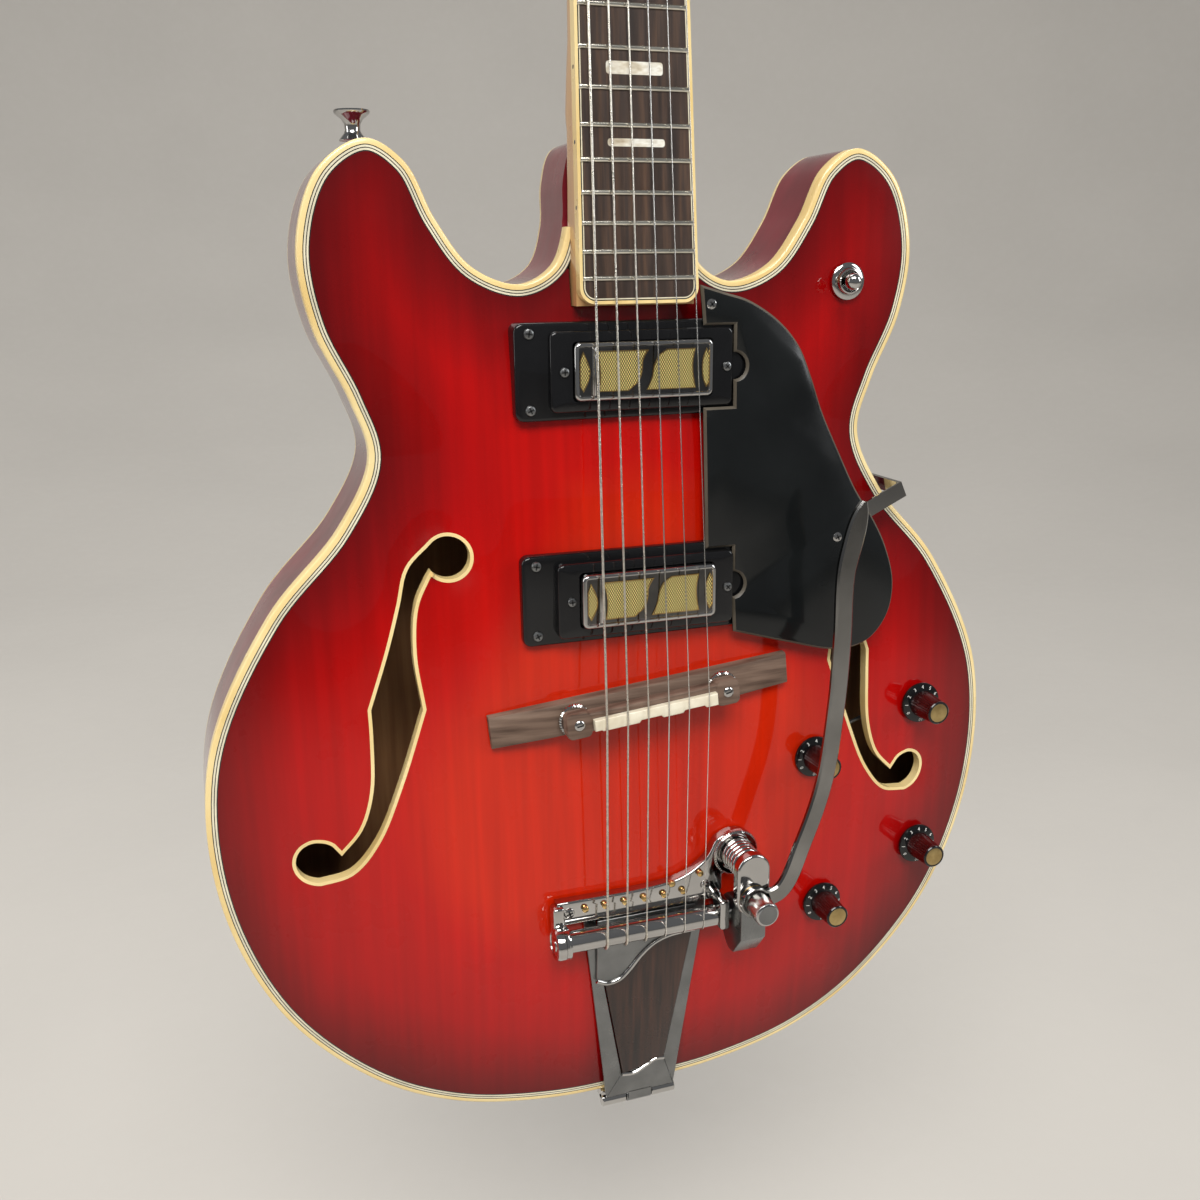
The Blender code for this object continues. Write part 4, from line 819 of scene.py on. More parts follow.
def build_neck():
    """Neck, headstock, bound fretboard with crowned frets and pearl blocks, and the nut."""
    neck = Piece("neck_and_headstock")
    rings = []
    for (z0, d0, s0), (z1, d1, s1) in zip(NECK_STATIONS, NECK_STATIONS[1:]):
        for step in range(8):
            t = step / 8
            z = z0 + (z1 - z0) * t
            depth = (d0 or heel_depth(z0)) * (1 - t) + (d1 or heel_depth(z1)) * t
            power = 2 / (s0 + (s1 - s0) * t)
            half = board_half(z)
            face = board_y(z) + BOARD_THICKNESS + GAP
            ring = []
            for i in range(37):
                a = math.pi * i / 36
                x = half * math.copysign(abs(math.cos(a)) ** power, math.cos(a))
                ring.append(Vector((x, face + depth * math.sin(a) ** power, z)))
            rings.append(ring)
    neck.add(loft(rings), "maple")
    head = plate(head_outline(), 0.0, HEAD_THICKNESS, edge=0.0012)
    neck.add(head, "maple", HEAD_FRAME)
    neck.place(instead_of=("neck",), slot="maple_neck", smooth=35)

    board = Piece("bound_fretboard")
    lines = [board_outline(inwards) for inwards in (0.0, 0.0014, 0.0019, 0.0024)]
    back = at_depth(lines[0], lambda x, z: board_y(z) + BOARD_THICKNESS)
    bm = loft([back] + [at_depth(line, lambda x, z: board_y(z)) for line in lines])
    bands = [board.index(key) for key in ("cream", "cream", "black_line", "white_line")]
    caps = [board.index("rosewood")] * 2
    paint_faces(bm, caps + [band for band in bands for _ in back])
    board.add(bm, None)
    for number in range(1, FRET_COUNT + 1):
        z = fret_z(number)
        half = board_half(z) - 0.0013
        rings = []
        for x, size in ((-half, 0.35), (-half + 0.0004, 0.85), (-half + 0.0012, 1.0),
                        (half - 0.0012, 1.0), (half - 0.0004, 0.85), (half, 0.35)):
            ring = [Vector((x, board_y(z) + 0.0004, z + FRET_HALF_WIDTH * way)) for way in (1, -1)]
            ring += [Vector((x, board_y(z) - FRET_HEIGHT * size * math.sin(a),
                             z - FRET_HALF_WIDTH * math.cos(a)))
                     for a in (math.pi * i / 8 for i in range(9))]
            rings.append(ring)
        board.add(loft(rings), "fret")
    for number in (3, 5, 7, 9, 12, 15, 17):
        near, far = fret_z(number - 1), fret_z(number)
        width = 0.485 * 2 * board_half(far)
        length = (near - far) * (0.33 if number < 17 else 0.23)
        middle = (0.0, (near + far) / 2)
        block_line = rounded_rectangle(middle, (width, length), min(0.0012, length * 0.4), 4)
        board.add(plate(block_line, lambda x, z: board_y(z) - 0.00012,
                        lambda x, z: board_y(z) + 0.001), "pearl")
    for number in (3, 5, 7, 9, 12, 15, 17, 19):
        z = (fret_z(number - 1) + fret_z(number)) / 2
        spots = (z - 0.003, z + 0.003) if number == 12 else (z,)
        for spot in spots:
            start = -board_half(spot) - 0.00012
            board.add(lathe(rod(0.0009, start, start + 0.001), "X", 16, (0, board_y(spot) + 0.0028,
                spot)), "black_line")
    board.place(instead_of=("fretboard",), slot="rosewood", smooth=35)

    nut = Piece("slotted_nut")
    nut.add(block((-NUT_HALF, STRING_NUT_Y + 0.0007, GAP),
                  (NUT_HALF, BOARD_Y + BOARD_THICKNESS, 0.005), 0.0006, 3), "ivory")
    # dark blocks of painted shadow stand in for the shade in the string slots
    for number in range(6):
        x = string_x(number, STRINGS_HALF_AT_NUT)
        nut.add(block((x - 0.0005, STRING_NUT_Y + 0.0005, 0.0),
            (x + 0.0005, STRING_NUT_Y + 0.0011, 0.0052)), "shadow")
    nut.place(instead_of=("nut",), slot="white_plastic")


def tuner_places():
    """Post positions in the headstock's plane, low E first and high E last."""
    rows = ((0.0225, 0.048), (0.0235, 0.088), (0.0245, 0.128))
    return [(-x, z) for x, z in rows] + [(x, z) for x, z in reversed(rows)]


def build_tuners():
    """Posts with washers, and shaped buttons on their shafts."""
    back = HEAD_THICKNESS + GAP
    for number, (x, z) in enumerate(tuner_places(), start=1):
        post = Piece(f"string_post_{number}")
        here = HEAD_FRAME @ Matrix.Translation((x, 0, z))
        post.add(lathe(((0, -0.0125), (0.0022, -0.0125), (0.0028, -0.0121), (0.003, -0.0112),
            (0.003, -0.0085), (0.0024, -0.0076), (0.0023, -0.0068), (0.0026, -0.006),
            (0.003, -0.0055), (0.003, 0.019), (0, 0.019)), "Y", 28), "plain_steel", here)
        post.place(f"post_{number}", (f"tuner_post_{number}",), slot="steel")
        bush = Piece(f"post_washer_{number}")
        bush.add(lathe(((0.0033, 0.0), (0.0058, 0.0), (0.0056, -0.0007), (0.0048, -0.0011),
            (0.0034, -0.0011), (0.0033, 0.0)), "Y", 28), "chrome", here)
        bush.place(slot="chrome")
        side = math.copysign(1, x)
        button = Piece(f"tuner_grip_{number}")
        bm = lathe(((0, side * 0.02), (0.004, side * 0.0202), (0.0058, side * 0.0218),
            (0.0068, side * 0.024), (0.008, side * 0.0268), (0.0085, side * 0.0292),
            (0.0081, side * 0.032), (0.007, side * 0.0343), (0.0045, side * 0.0356),
            (0, side * 0.036)), "X", 32)
        for vert in bm.verts:
            vert.co.y *= 0.45
        spot = HEAD_FRAME @ Matrix.Translation((x, back + 0.0056, z))
        button.add(bm, "ivory", spot)
        button.add(lathe(((0, side * 0.0073), (0.0024, side * 0.0073), (0.0024, side * 0.0185),
            (0.0034, side * 0.019), (0.0034, side * 0.0203), (0, side * 0.0204)), "X", 20),
            "chrome", spot)
        button.place(f"button_{number}", (f"tuner_button_{number}",), slot="white_plastic")


# ---- strings
def build_strings():
    """Six strings from post to nut to saddle, hooked round the rocker bar."""
    for number, (x, z) in enumerate(tuner_places()):
        radius = STRING_RADII[number]
        inward = -math.copysign(0.003 + radius + GAP, x)
        post = HEAD_FRAME @ Vector((x + inward, -0.007, z))
        along = string_x(number, STRINGS_HALF_AT_SADDLE) + TAIL_X
        saddle_z = BRIDGE_CENTRE.y - 0.0015 + math.tan(BRIDGE_ANGLE) * (along - BRIDGE_CENTRE.x)
        path = [post, Vector((string_x(number, STRINGS_HALF_AT_NUT), STRING_NUT_Y, 0.0046)),
                Vector((along, STRING_SADDLE_Y, saddle_z))]
        orbit = 0.0055 + radius + 0.0002
        for a in map(math.radians, range(20, -190, -15)):
            path.append(Vector((along + 0.0006, raised(ROCKER_HEIGHT) - orbit * math.cos(a),
                                ROCKER_Z + orbit * math.sin(a))))
        wire = Piece(f"wire_{number + 1}")
        wire.add(pipe(path, radius, 10), "wound" if number < 3 else "plain_steel")
        start = HEAD_FRAME.inverted() @ post
        orbit = POST_WAIST + radius
        turns = []
        for step in range(40):
            a = 2 * math.pi * step / 13 * math.copysign(1, x)
            turns.append(HEAD_FRAME @ Vector((x - math.copysign(orbit, x) * math.cos(a),
                                              start.y - 0.0009 * step / 40,
                                              z + orbit * math.sin(a))))
        wire.add(pipe(turns, radius, 8), "wound" if number < 3 else "plain_steel")
        wire.place(instead_of=(f"string_{number + 1}",), slot="steel", smooth=60)


# ---- pickups
def mesh_windows(cx, cz):
    """Outlines of the mesh areas in a pickup cover, left to right, anticlockwise."""
    h = 0.0088
    runs = ((((-0.0306, 0.0045), (-0.0306, -0.006)), ((-0.029, -h), (-0.0266, -0.004),
        (-0.0258, 0.0), (-0.0268, 0.004), (-0.029, h))), (((-0.0232, h), (-0.0216, 0.003),
        (-0.0214, -0.004), (-0.0222, -h)), ((-0.008, -h), (-0.003, -0.0045), (-0.0015, 0.0),
        (-0.0012, 0.004), (0.0, 0.0066), (0.0016, h))), (((0.0102, h), (0.006, 0.006),
        (0.004, 0.002), (0.003, -0.003), (0.0018, -0.0062), (0.0003, -h)), ((0.024, -h),
        (0.0229, -0.003), (0.0227, 0.003), (0.0238, h))), (((0.0292, h), (0.0276, 0.005),
        (0.027, 0.0), (0.0276, -0.005), (0.0292, -h)), ((0.0308, -0.006), (0.0308, 0.006))), )
    return [[Vector((p.x + cx, p.y + cz)) for run in pair for p in smooth_path(run, 6)]
            for pair in runs]


def build_pickups(tree):
    """Black rings with raised bezels, chrome covers with raised frames over gold mesh."""
    for name, spec in PICKUPS.items():
        cx, cz = PICKUP_X, spec["z"]
        ring = Piece(f"{name}_surround")
        flange = rounded_rectangle((cx, cz), (0.117, 0.0425), 0.004)
        front = raised(spec["flange"])
        ring.add(plate(flange, front, lambda x, z: top_y(tree, x, z) + 0.0006, edge=0.0015, steps=5),
                 "black")
        bezel = rounded_rectangle((cx, cz), BEZEL, 0.003)
        window = rounded_rectangle((cx, cz), (0.0664, 0.0262), 0.002)
        top = raised(spec["bezel"])
        levels = ((inset(bezel, 0), front + 0.0005), (inset(bezel, 0), top + 0.0012),
            (inset(bezel, 0.0002), top + 0.0006), (inset(bezel, 0.0006), top + 0.0002),
            (inset(bezel, 0.0012), top), (window, top), (window, front + 0.0005))
        ring.add(loft([at_depth(line, y) for line, y in levels], closed=True), "black")
        for x in (-0.037, 0.04):
            screw(ring, (cx + x, top + 0.0001, cz), 0.0022, 0.0013, turn=0.4 + x * 9, metal="satin")
        for x, dz in ((-0.0519, 0.0166), (-0.0519, -0.0162), (0.054, 0.0166), (0.054, -0.0162)):
            screw(ring, (cx + x, front + 0.0001, cz + dz), 0.0024, 0.0013, turn=0.9 + dz * 30,
                metal="satin")
        ring.place(instead_of=(f"{name}_ring",), slot="black_plastic", smooth=35)

        cover = Piece(f"{name}_cover")
        outline = rounded_rectangle((cx, cz), COVER, 0.003)
        lip = raised(spec["cover"])
        floor = lip + 0.0006
        inner = inset(outline, 0.0019)
        rings = [at_depth(line, y) for line, y in ((outline, -0.019), (outline, lip + 0.0013),
            (inset(outline, 0.0002), lip + 0.0007), (inset(outline, 0.0006), lip + 0.0002),
            (inset(outline, 0.0012), lip), (inner, lip + 0.0001), (inset(inner, 0.0004), floor))]
        cover.add(loft(rings), "chrome")
        cover.add(plate(inset(inner, 0.0005), floor - 0.00012, floor + 0.0005), "smoked")
        for line in mesh_windows(cx, cz):
            cover.add(plate(line, floor - 0.0003, floor), "mesh")
            rim = inset(line, 0.0004)
            rings = [at_depth(edge, y) for edge, y in
                     ((line, floor), (line, floor - 0.0006), (rim, floor - 0.0006), (rim, floor))]
            cover.add(loft(rings, closed=True), "brass")
        cover.add(block((cx - 0.0248, lip + 0.0002, cz - 0.0104),
            (cx - 0.023, floor + 0.0002, cz + 0.0104), 0.0003), "chrome")
        cover.place(instead_of=(name,), slot="chrome", smooth=35)


# ---- pickguard
def guard_y(z, lift):
    """Y of a plane in front of the guard's underside, which rises towards the neck."""
    return raised(0.0129 + 0.024 * (-0.481 - z) + lift)


def build_guard():
    """Black pickguard with a bevelled edge and its two screws."""
    right = smooth_path(((0.029, -0.445), (0.041, -0.4485), (0.053, -0.4522), (0.068, -0.4615),
        (0.0785, -0.473), (0.085, -0.4868), (0.0915, -0.504), (0.101, -0.5235), (0.111, -0.5425),
        (0.12, -0.5555), (0.1285, -0.5713), (0.1337, -0.59), (0.1315, -0.606), (0.1225, -0.6178),
        (0.111, -0.6221), (0.098, -0.6215), (0.077, -0.6158), (0.0465, -0.6068)), 6)
    bezel_right = PICKUP_X + BEZEL[0] / 2 + 0.0008
    half = BEZEL[1] / 2 + 0.0008
    left = []
    for key, edge in (("bridge_pickup", 0.0318), ("neck_pickup", 0.0306)):
        z = PICKUPS[key]["z"]
        if key == "neck_pickup":
            left += [Vector((edge, z - half)), Vector((bezel_right, z - half))]
        left += arc((bezel_right, z), 0.0062, -90, 90, 16)
        left += [Vector((bezel_right, z + half)), Vector((edge, z + half))]
    outline = list(reversed(right + left))
    guard = Piece("bevelled_pickguard")
    thick = 0.0022
    rings = []
    levels = ((0.0, 0.0), (0.0, 0.0008), (0.0011, thick - 0.0001), (0.0013, thick))
    for inwards, lift in levels:
        rings.append(at_depth(inset(outline, inwards), lambda x, z: guard_y(z, lift)))
    bm = loft(rings)
    caps = [guard.index("guard")] * 2
    bands = [guard.index(key) for key in ("guard", "ply", "guard")]
    paint_faces(bm, caps + [band for band in bands for _ in outline])
    guard.add(bm, None)
    for x, z in ((0.034, -0.4535), (0.1011, -0.5648)):
        screw(guard, (x, guard_y(z, thick - 0.0003), z), 0.0024, 0.001, turn=x * 20)
    guard.place(instead_of=("pickguard",), slot="black_plastic", smooth=30)


# ---- bridge
def bridge_shape(low, high, across, radius, corner=5):
    """A rectangle with round corners, slanted with the bridge."""
    middle = ((low + high) / 2, BRIDGE_CENTRE.y + (across[0] + across[1]) / 2)
    size = (high - low, across[1] - across[0])
    return turned(rounded_rectangle(middle, size, radius, corner), BRIDGE_ANGLE, BRIDGE_CENTRE)


def bridge_place(along, across=0.0):
    """A point of the slanted bridge."""
    return BRIDGE_CENTRE + Matrix.Rotation(BRIDGE_ANGLE, 2) @ Vector((along - BRIDGE_CENTRE.x, across))


def build_bridge(tree):
    """Wooden base, two thumbwheels on posts, and the bar with its saddle."""
    base = Piece("bridge_foot")
    front_half = ((1.0, 0.0012), (0.9625, 0.0004), (0.85, 0.0))
    profile = [(-share, drop) for share, drop in front_half]
    profile += [(share, drop) for share, drop in reversed(front_half)]
    profile = [(-1.0, None)] + profile + [(1.0, None)]
    sections = []
    steps = 40
    for i in range(steps + 1):
        along = BRIDGE_LOW + (BRIDGE_HIGH - BRIDGE_LOW) * i / steps
        height = 0.017 - max(0.0, abs(along - BRIDGE_CENTRE.x) - 0.048) * 0.1
        section = []
        for share, drop in profile:
            at = bridge_place(along, share * BRIDGE_HALF_DEPTH)
            y = top_y(tree, at.x, at.y) + 0.0004 if drop is None else raised(height - drop)
            section.append(Vector((at.x, y, at.y)))
        sections.append(section)
    base.add(loft(sections), "bridge_wood")
    base.place(instead_of=("bridge_base",), slot="bridge_wood", smooth=40)
    # a thin dark strip of painted shadow stands in for the shade in the groove along the foot's top
    groove_shadow = Piece("bridge_foot_groove_shadow")
    line = bridge_shape(-0.027, 0.03, (-0.0004, 0.0003), 0.0002, 2)
    groove_shadow.add(plate(line, raised(0.01706), raised(0.015)), "shadow")
    groove_shadow.place(slot="bridge_wood")

    for x, name in zip(POST_X, ("bass", "treble")):
        place = bridge_place(x)
        centre = (place.x, 0, place.y)
        wheel = Piece(f"thumbwheel_{name}")
        wheel.add(lathe(raised_profile((0.0025, 0.0209), (0.0072, 0.0209), (0.008, 0.0205),
            (0.008, 0.0191), (0.0072, 0.0187), (0.0025, 0.0187), (0.0025, 0.0209)), "Y", 144,
            centre, ripple=(36, 0.0005, 1, 4)), "chrome")
        wheel.place(f"{name}_wheel", (f"bridge_wheel_{name}",), slot="chrome")
        post = Piece(f"post_stud_{name}")
        post.add(lathe(rod(0.0022, raised(0.024), raised(0.0173)), "Y", 24, centre), "plain_steel")
        post.place(instead_of=(f"bridge_post_{name}",), slot="steel")

    bar = Piece("bridge_beam")
    beam = bridge_shape(POST_X[0] + 0.004, POST_X[1] - 0.004, (-0.0045, 0.0045), 0.0006)
    bar.add(plate(beam, raised(0.0272), raised(0.0212), edge=0.0008), "bridge_wood")
    for x in POST_X:
        end = bridge_shape(x - 0.0062, x + 0.0062, (-0.0068, 0.0058), 0.003, 8)
        at = bridge_place(x)
        hole = arc((at.x, at.y), 0.0028, 0, 360 - 360 / len(end), len(end))
        levels = [(hole, 0.0274), (hole, 0.021), (end, 0.021), (end, 0.0266), (inset(end, 0.0003),
            0.0273), (inset(end, 0.001), 0.0276)]
        bar.add(loft([at_depth(line, raised(height)) for line, height in levels]), "bridge_wood")
        screw(bar, (at.x, raised(0.0276), at.y), 0.0026, 0.001, turn=0.2 + x, slot_only=True)
    bar.place("bridge_top", ("bridge_bar",), slot="bridge_wood", smooth=35)

    saddle = Piece("bone_saddle")
    low, high = POST_X[0] + 0.0066, POST_X[1] - 0.0066
    stair = [(low, -0.0036), (low + 0.003, -0.0036), (low + 0.0036, -0.0042)]
    for number in range(1, 6):
        x = low + (high - low) * number / 5.6
        depth = -0.0042 if number % 2 else -0.003
        stair += [(x - 0.0006, stair[-1][1]), (x + 0.0006, depth)]
    outline = [Vector(p) for p in stair] + [Vector((high, stair[-1][1])), Vector((high, 0.0018)),
                                            Vector((low, 0.0018))]
    outline = [bridge_place(p.x, p.y) for p in outline]
    saddle.add(plate(outline, raised(0.0306), raised(0.0274), edge=0.0006), "ivory")
    saddle.place("bridge_top", ("bridge_saddle",), slot="white_plastic", smooth=35)


# ---- tailpiece and vibrato
def trapeze_y(z):
    """Y of the trapeze plate's front: it falls towards the tail hinge."""
    return raised(0.0058 + 0.078 * (z + 0.858))


def tail_points(*points):
    """Points given from the tailpiece's middle."""
    return [Vector((TAIL_X + x, z)) for x, z in points]


def trapeze_plate(outline, front, thickness, edge=0.0):
    """A plate that follows the trapeze's slope; front is how far it lies behind the trapeze."""
    return plate(outline, lambda x, z: trapeze_y(z) + front,
                 lambda x, z: trapeze_y(z) + front + thickness, edge)


def build_tailpiece():
    """Trapeze legs round a wooden panel, cast base with studs, spring seat and hinge."""
    foot = HINGE_Z + 0.004
    cast = Piece("trapeze_and_cast_base")
    legs = (tail_points((-0.019, foot), (-0.0108, -0.849), (-0.0262, -0.764), (-0.0262, -0.74),
        (-0.034, -0.74)), tail_points((0.019, foot), (0.034, -0.74), (0.0262, -0.74),
        (0.0262, -0.764), (0.0128, -0.844)), tail_points((-0.019, foot), (0.019, foot),
        (0.0128, -0.844), (-0.0108, -0.849)))
    for leg in legs:
        cast.add(trapeze_plate(leg, 0, TRAPEZE_THICKNESS, 0.0004), "satin")
    lip = smooth_path(tail_points((-0.0262, -0.7855), (-0.0205, -0.788), (-0.014, -0.7868),
        (-0.0085, -0.7818), (-0.003, -0.775), (0.004, -0.769), (0.012, -0.766), (0.0262, -0.765)),
        8)
    apron = lip + tail_points((0.0262, -0.75), (-0.0262, -0.75))
    cast.add(trapeze_plate(apron, -0.0022, 0.0018, 0.0006), "satin")
    cast.add(pipe(at_depth(lip, lambda x, z: trapeze_y(z) - 0.002), 0.0013), "chrome")
    low_lip = smooth_path(tail_points((-0.0108, -0.849), (-0.004, -0.8496), (0.003, -0.8462),
        (0.0078, -0.8436), (0.0128, -0.844)), 8)
    cast.add(pipe(at_depth(low_lip, lambda x, z: trapeze_y(z) - 0.0004), 0.0011, 10),
             "chrome")

    sweep_edge = smooth_path(((0.0485, -0.7125), (0.04, -0.716), (0.0345, -0.725), (0.022, -0.733),
        (0.005, -0.7358), (-0.045, -0.736)), 8)
    corner = smooth_path(((0.043, -0.736), (0.0545, -0.732), (0.06, -0.7245), (0.0575, -0.7155),
        (0.0485, -0.7125)), 6)[:-1]
    strip = [Vector((-0.045, -0.749)), Vector((0.039, -0.749)), Vector((0.043, -0.744))]
    cast.add(plate(strip + corner + sweep_edge, raised(0.0172), raised(0.0118), edge=0.0012),
             "chrome")
    seat = (SPRING_AT[0], 0, SPRING_AT[1])
    cast.add(lathe(raised_profile((0.0093, 0.0165), (0.0093, 0.0185), (0.0112, 0.0187),
        (0.0116, 0.0183), (0.0122, 0.0178), (0.0122, 0.015), (0.0116, 0.0146), (0.0118, 0.0115),
        (0.0, 0.0115), (0.0, 0.0165), (0.0093, 0.0165)), "Y", 240, seat, ripple=(60, 0.0004, 4, 5)),
        "chrome")
    axis_at = (0, raised(ROCKER_HEIGHT), ROCKER_Z)
    cast.add(lathe(((0, -0.0485), (0.003, -0.0485), (0.0034, -0.048), (0.006, -0.048),
        (0.0066, -0.0485), (0.0076, -0.0481), (0.0082, -0.047), (0.0082, -0.044), (0.0078, -0.0436),
        (0.0078, -0.0424), (0.0082, -0.042), (0.008, -0.0412), (0, -0.0412)), "X", 48, axis_at),
        "chrome")
    cast.add(block((-0.0476, raised(0.02), -0.756), (-0.0419, raised(0.0125), -0.7374), 0.0012, 3),
        "chrome")
    cast.add(block((0.0373, raised(0.0285), -0.761), (0.0425, raised(0.0125), -0.745), 0.0014, 3),
        "chrome")
    screw(cast, (-0.0389, raised(0.0171), -0.742), 0.0027, 0.0014, turn=0.3)
    screw(cast, (0.0335, raised(0.0171), -0.74), 0.0027, 0.0014, turn=0.9)
    studs = [(-0.031 + 0.0104 * i, -0.7405) for i in range(6)]
    for x, z in studs + [(0.0147, -0.7352), (0.03, -0.7322)]:
        cast.add(lathe(raised_profile((0, 0.02), (0.0009, 0.0199), (0.0016, 0.0194),
            (0.0018, 0.0186), (0.0012, 0.018), (0.0013, 0.0168), (0, 0.0168)), "Y", 20, (x, 0, z)),
            "brass")
    cast.add(lathe(rod(PIN_RADIUS, TAIL_X - PIN_HALF, TAIL_X + PIN_HALF, PIN_CUT), "X", 32,
                   (0, raised(0.001), HINGE_Z)), "satin")
    tongue = tail_points((-0.0064, HINGE_Z), (0.0064, HINGE_Z), (0.0064, foot + 0.001),
        (-0.0064, foot + 0.001))
    cast.add(trapeze_plate(tongue, 0, TRAPEZE_THICKNESS), "satin")
    cast.place(instead_of=("tailpiece_frame",), slot="chrome", smooth=35)

    panel = Piece("wood_inlay_panel")
    line = tail_points((-0.0104, -0.8486), (0.0124, -0.8436), (0.0258, -0.7644), (-0.0258, -0.7644))
    panel.add(trapeze_plate(line, -0.001, 0.0022, 0.0005), "panel_wood")
    panel.place(instead_of=("tailpiece_panel",), slot="rosewood", smooth=35)

    bracket = Piece("tail_bracket_and_hinge")
    tail_z = BODY_CURVE[0][1] - GAP
    left, right = TAIL_X - BRACKET_HALF, TAIL_X + BRACKET_HALF
    bracket.add(block((left, RIM_Y + 0.0045, tail_z - 0.002), (right, RIM_Y + 0.036, tail_z),
                      0.0006), "chrome")
    ear = PIN_HALF + GAP
    for low, high in ((left, TAIL_X - ear), (TAIL_X + ear, right)):
        bracket.add(block((low, RIM_Y - 0.002, HINGE_Z), (high, RIM_Y + 0.006, tail_z), 0.0006),
                    "chrome")
        bracket.add(lathe(rod(PIN_RADIUS, low, high, PIN_CUT), "X", 32, (0, raised(0.001), HINGE_Z)),
                    "chrome")
    for x in (-0.014, 0.014):
        screw(bracket, (TAIL_X + x, RIM_Y + 0.026, tail_z - 0.0019), 0.003, 0.0015, turn=x * 40,
            axis=(0, 0, -1))
    bracket.place(instead_of=("tail_hinge_bracket",), slot="chrome", smooth=35)


def arm_path():
    """Middle line of the vibrato arm."""
    path = smooth_path(((0.0505, 0, -0.74), (0.064, 0, -0.736), (0.075, 0, -0.7115),
        (0.0845, 0, -0.6805), (0.0888, 0, -0.64), (0.0903, 0, -0.608), (0.0906, 0, -0.576),
        (0.0938, 0, -0.5605), (0.0985, 0, -0.542)), 10)
    return [p + Vector((0, raised(ARM_HEIGHT) - 0.03 * max(0.0, min(0.1, p.z + 0.735)), 0))
        for p in path]


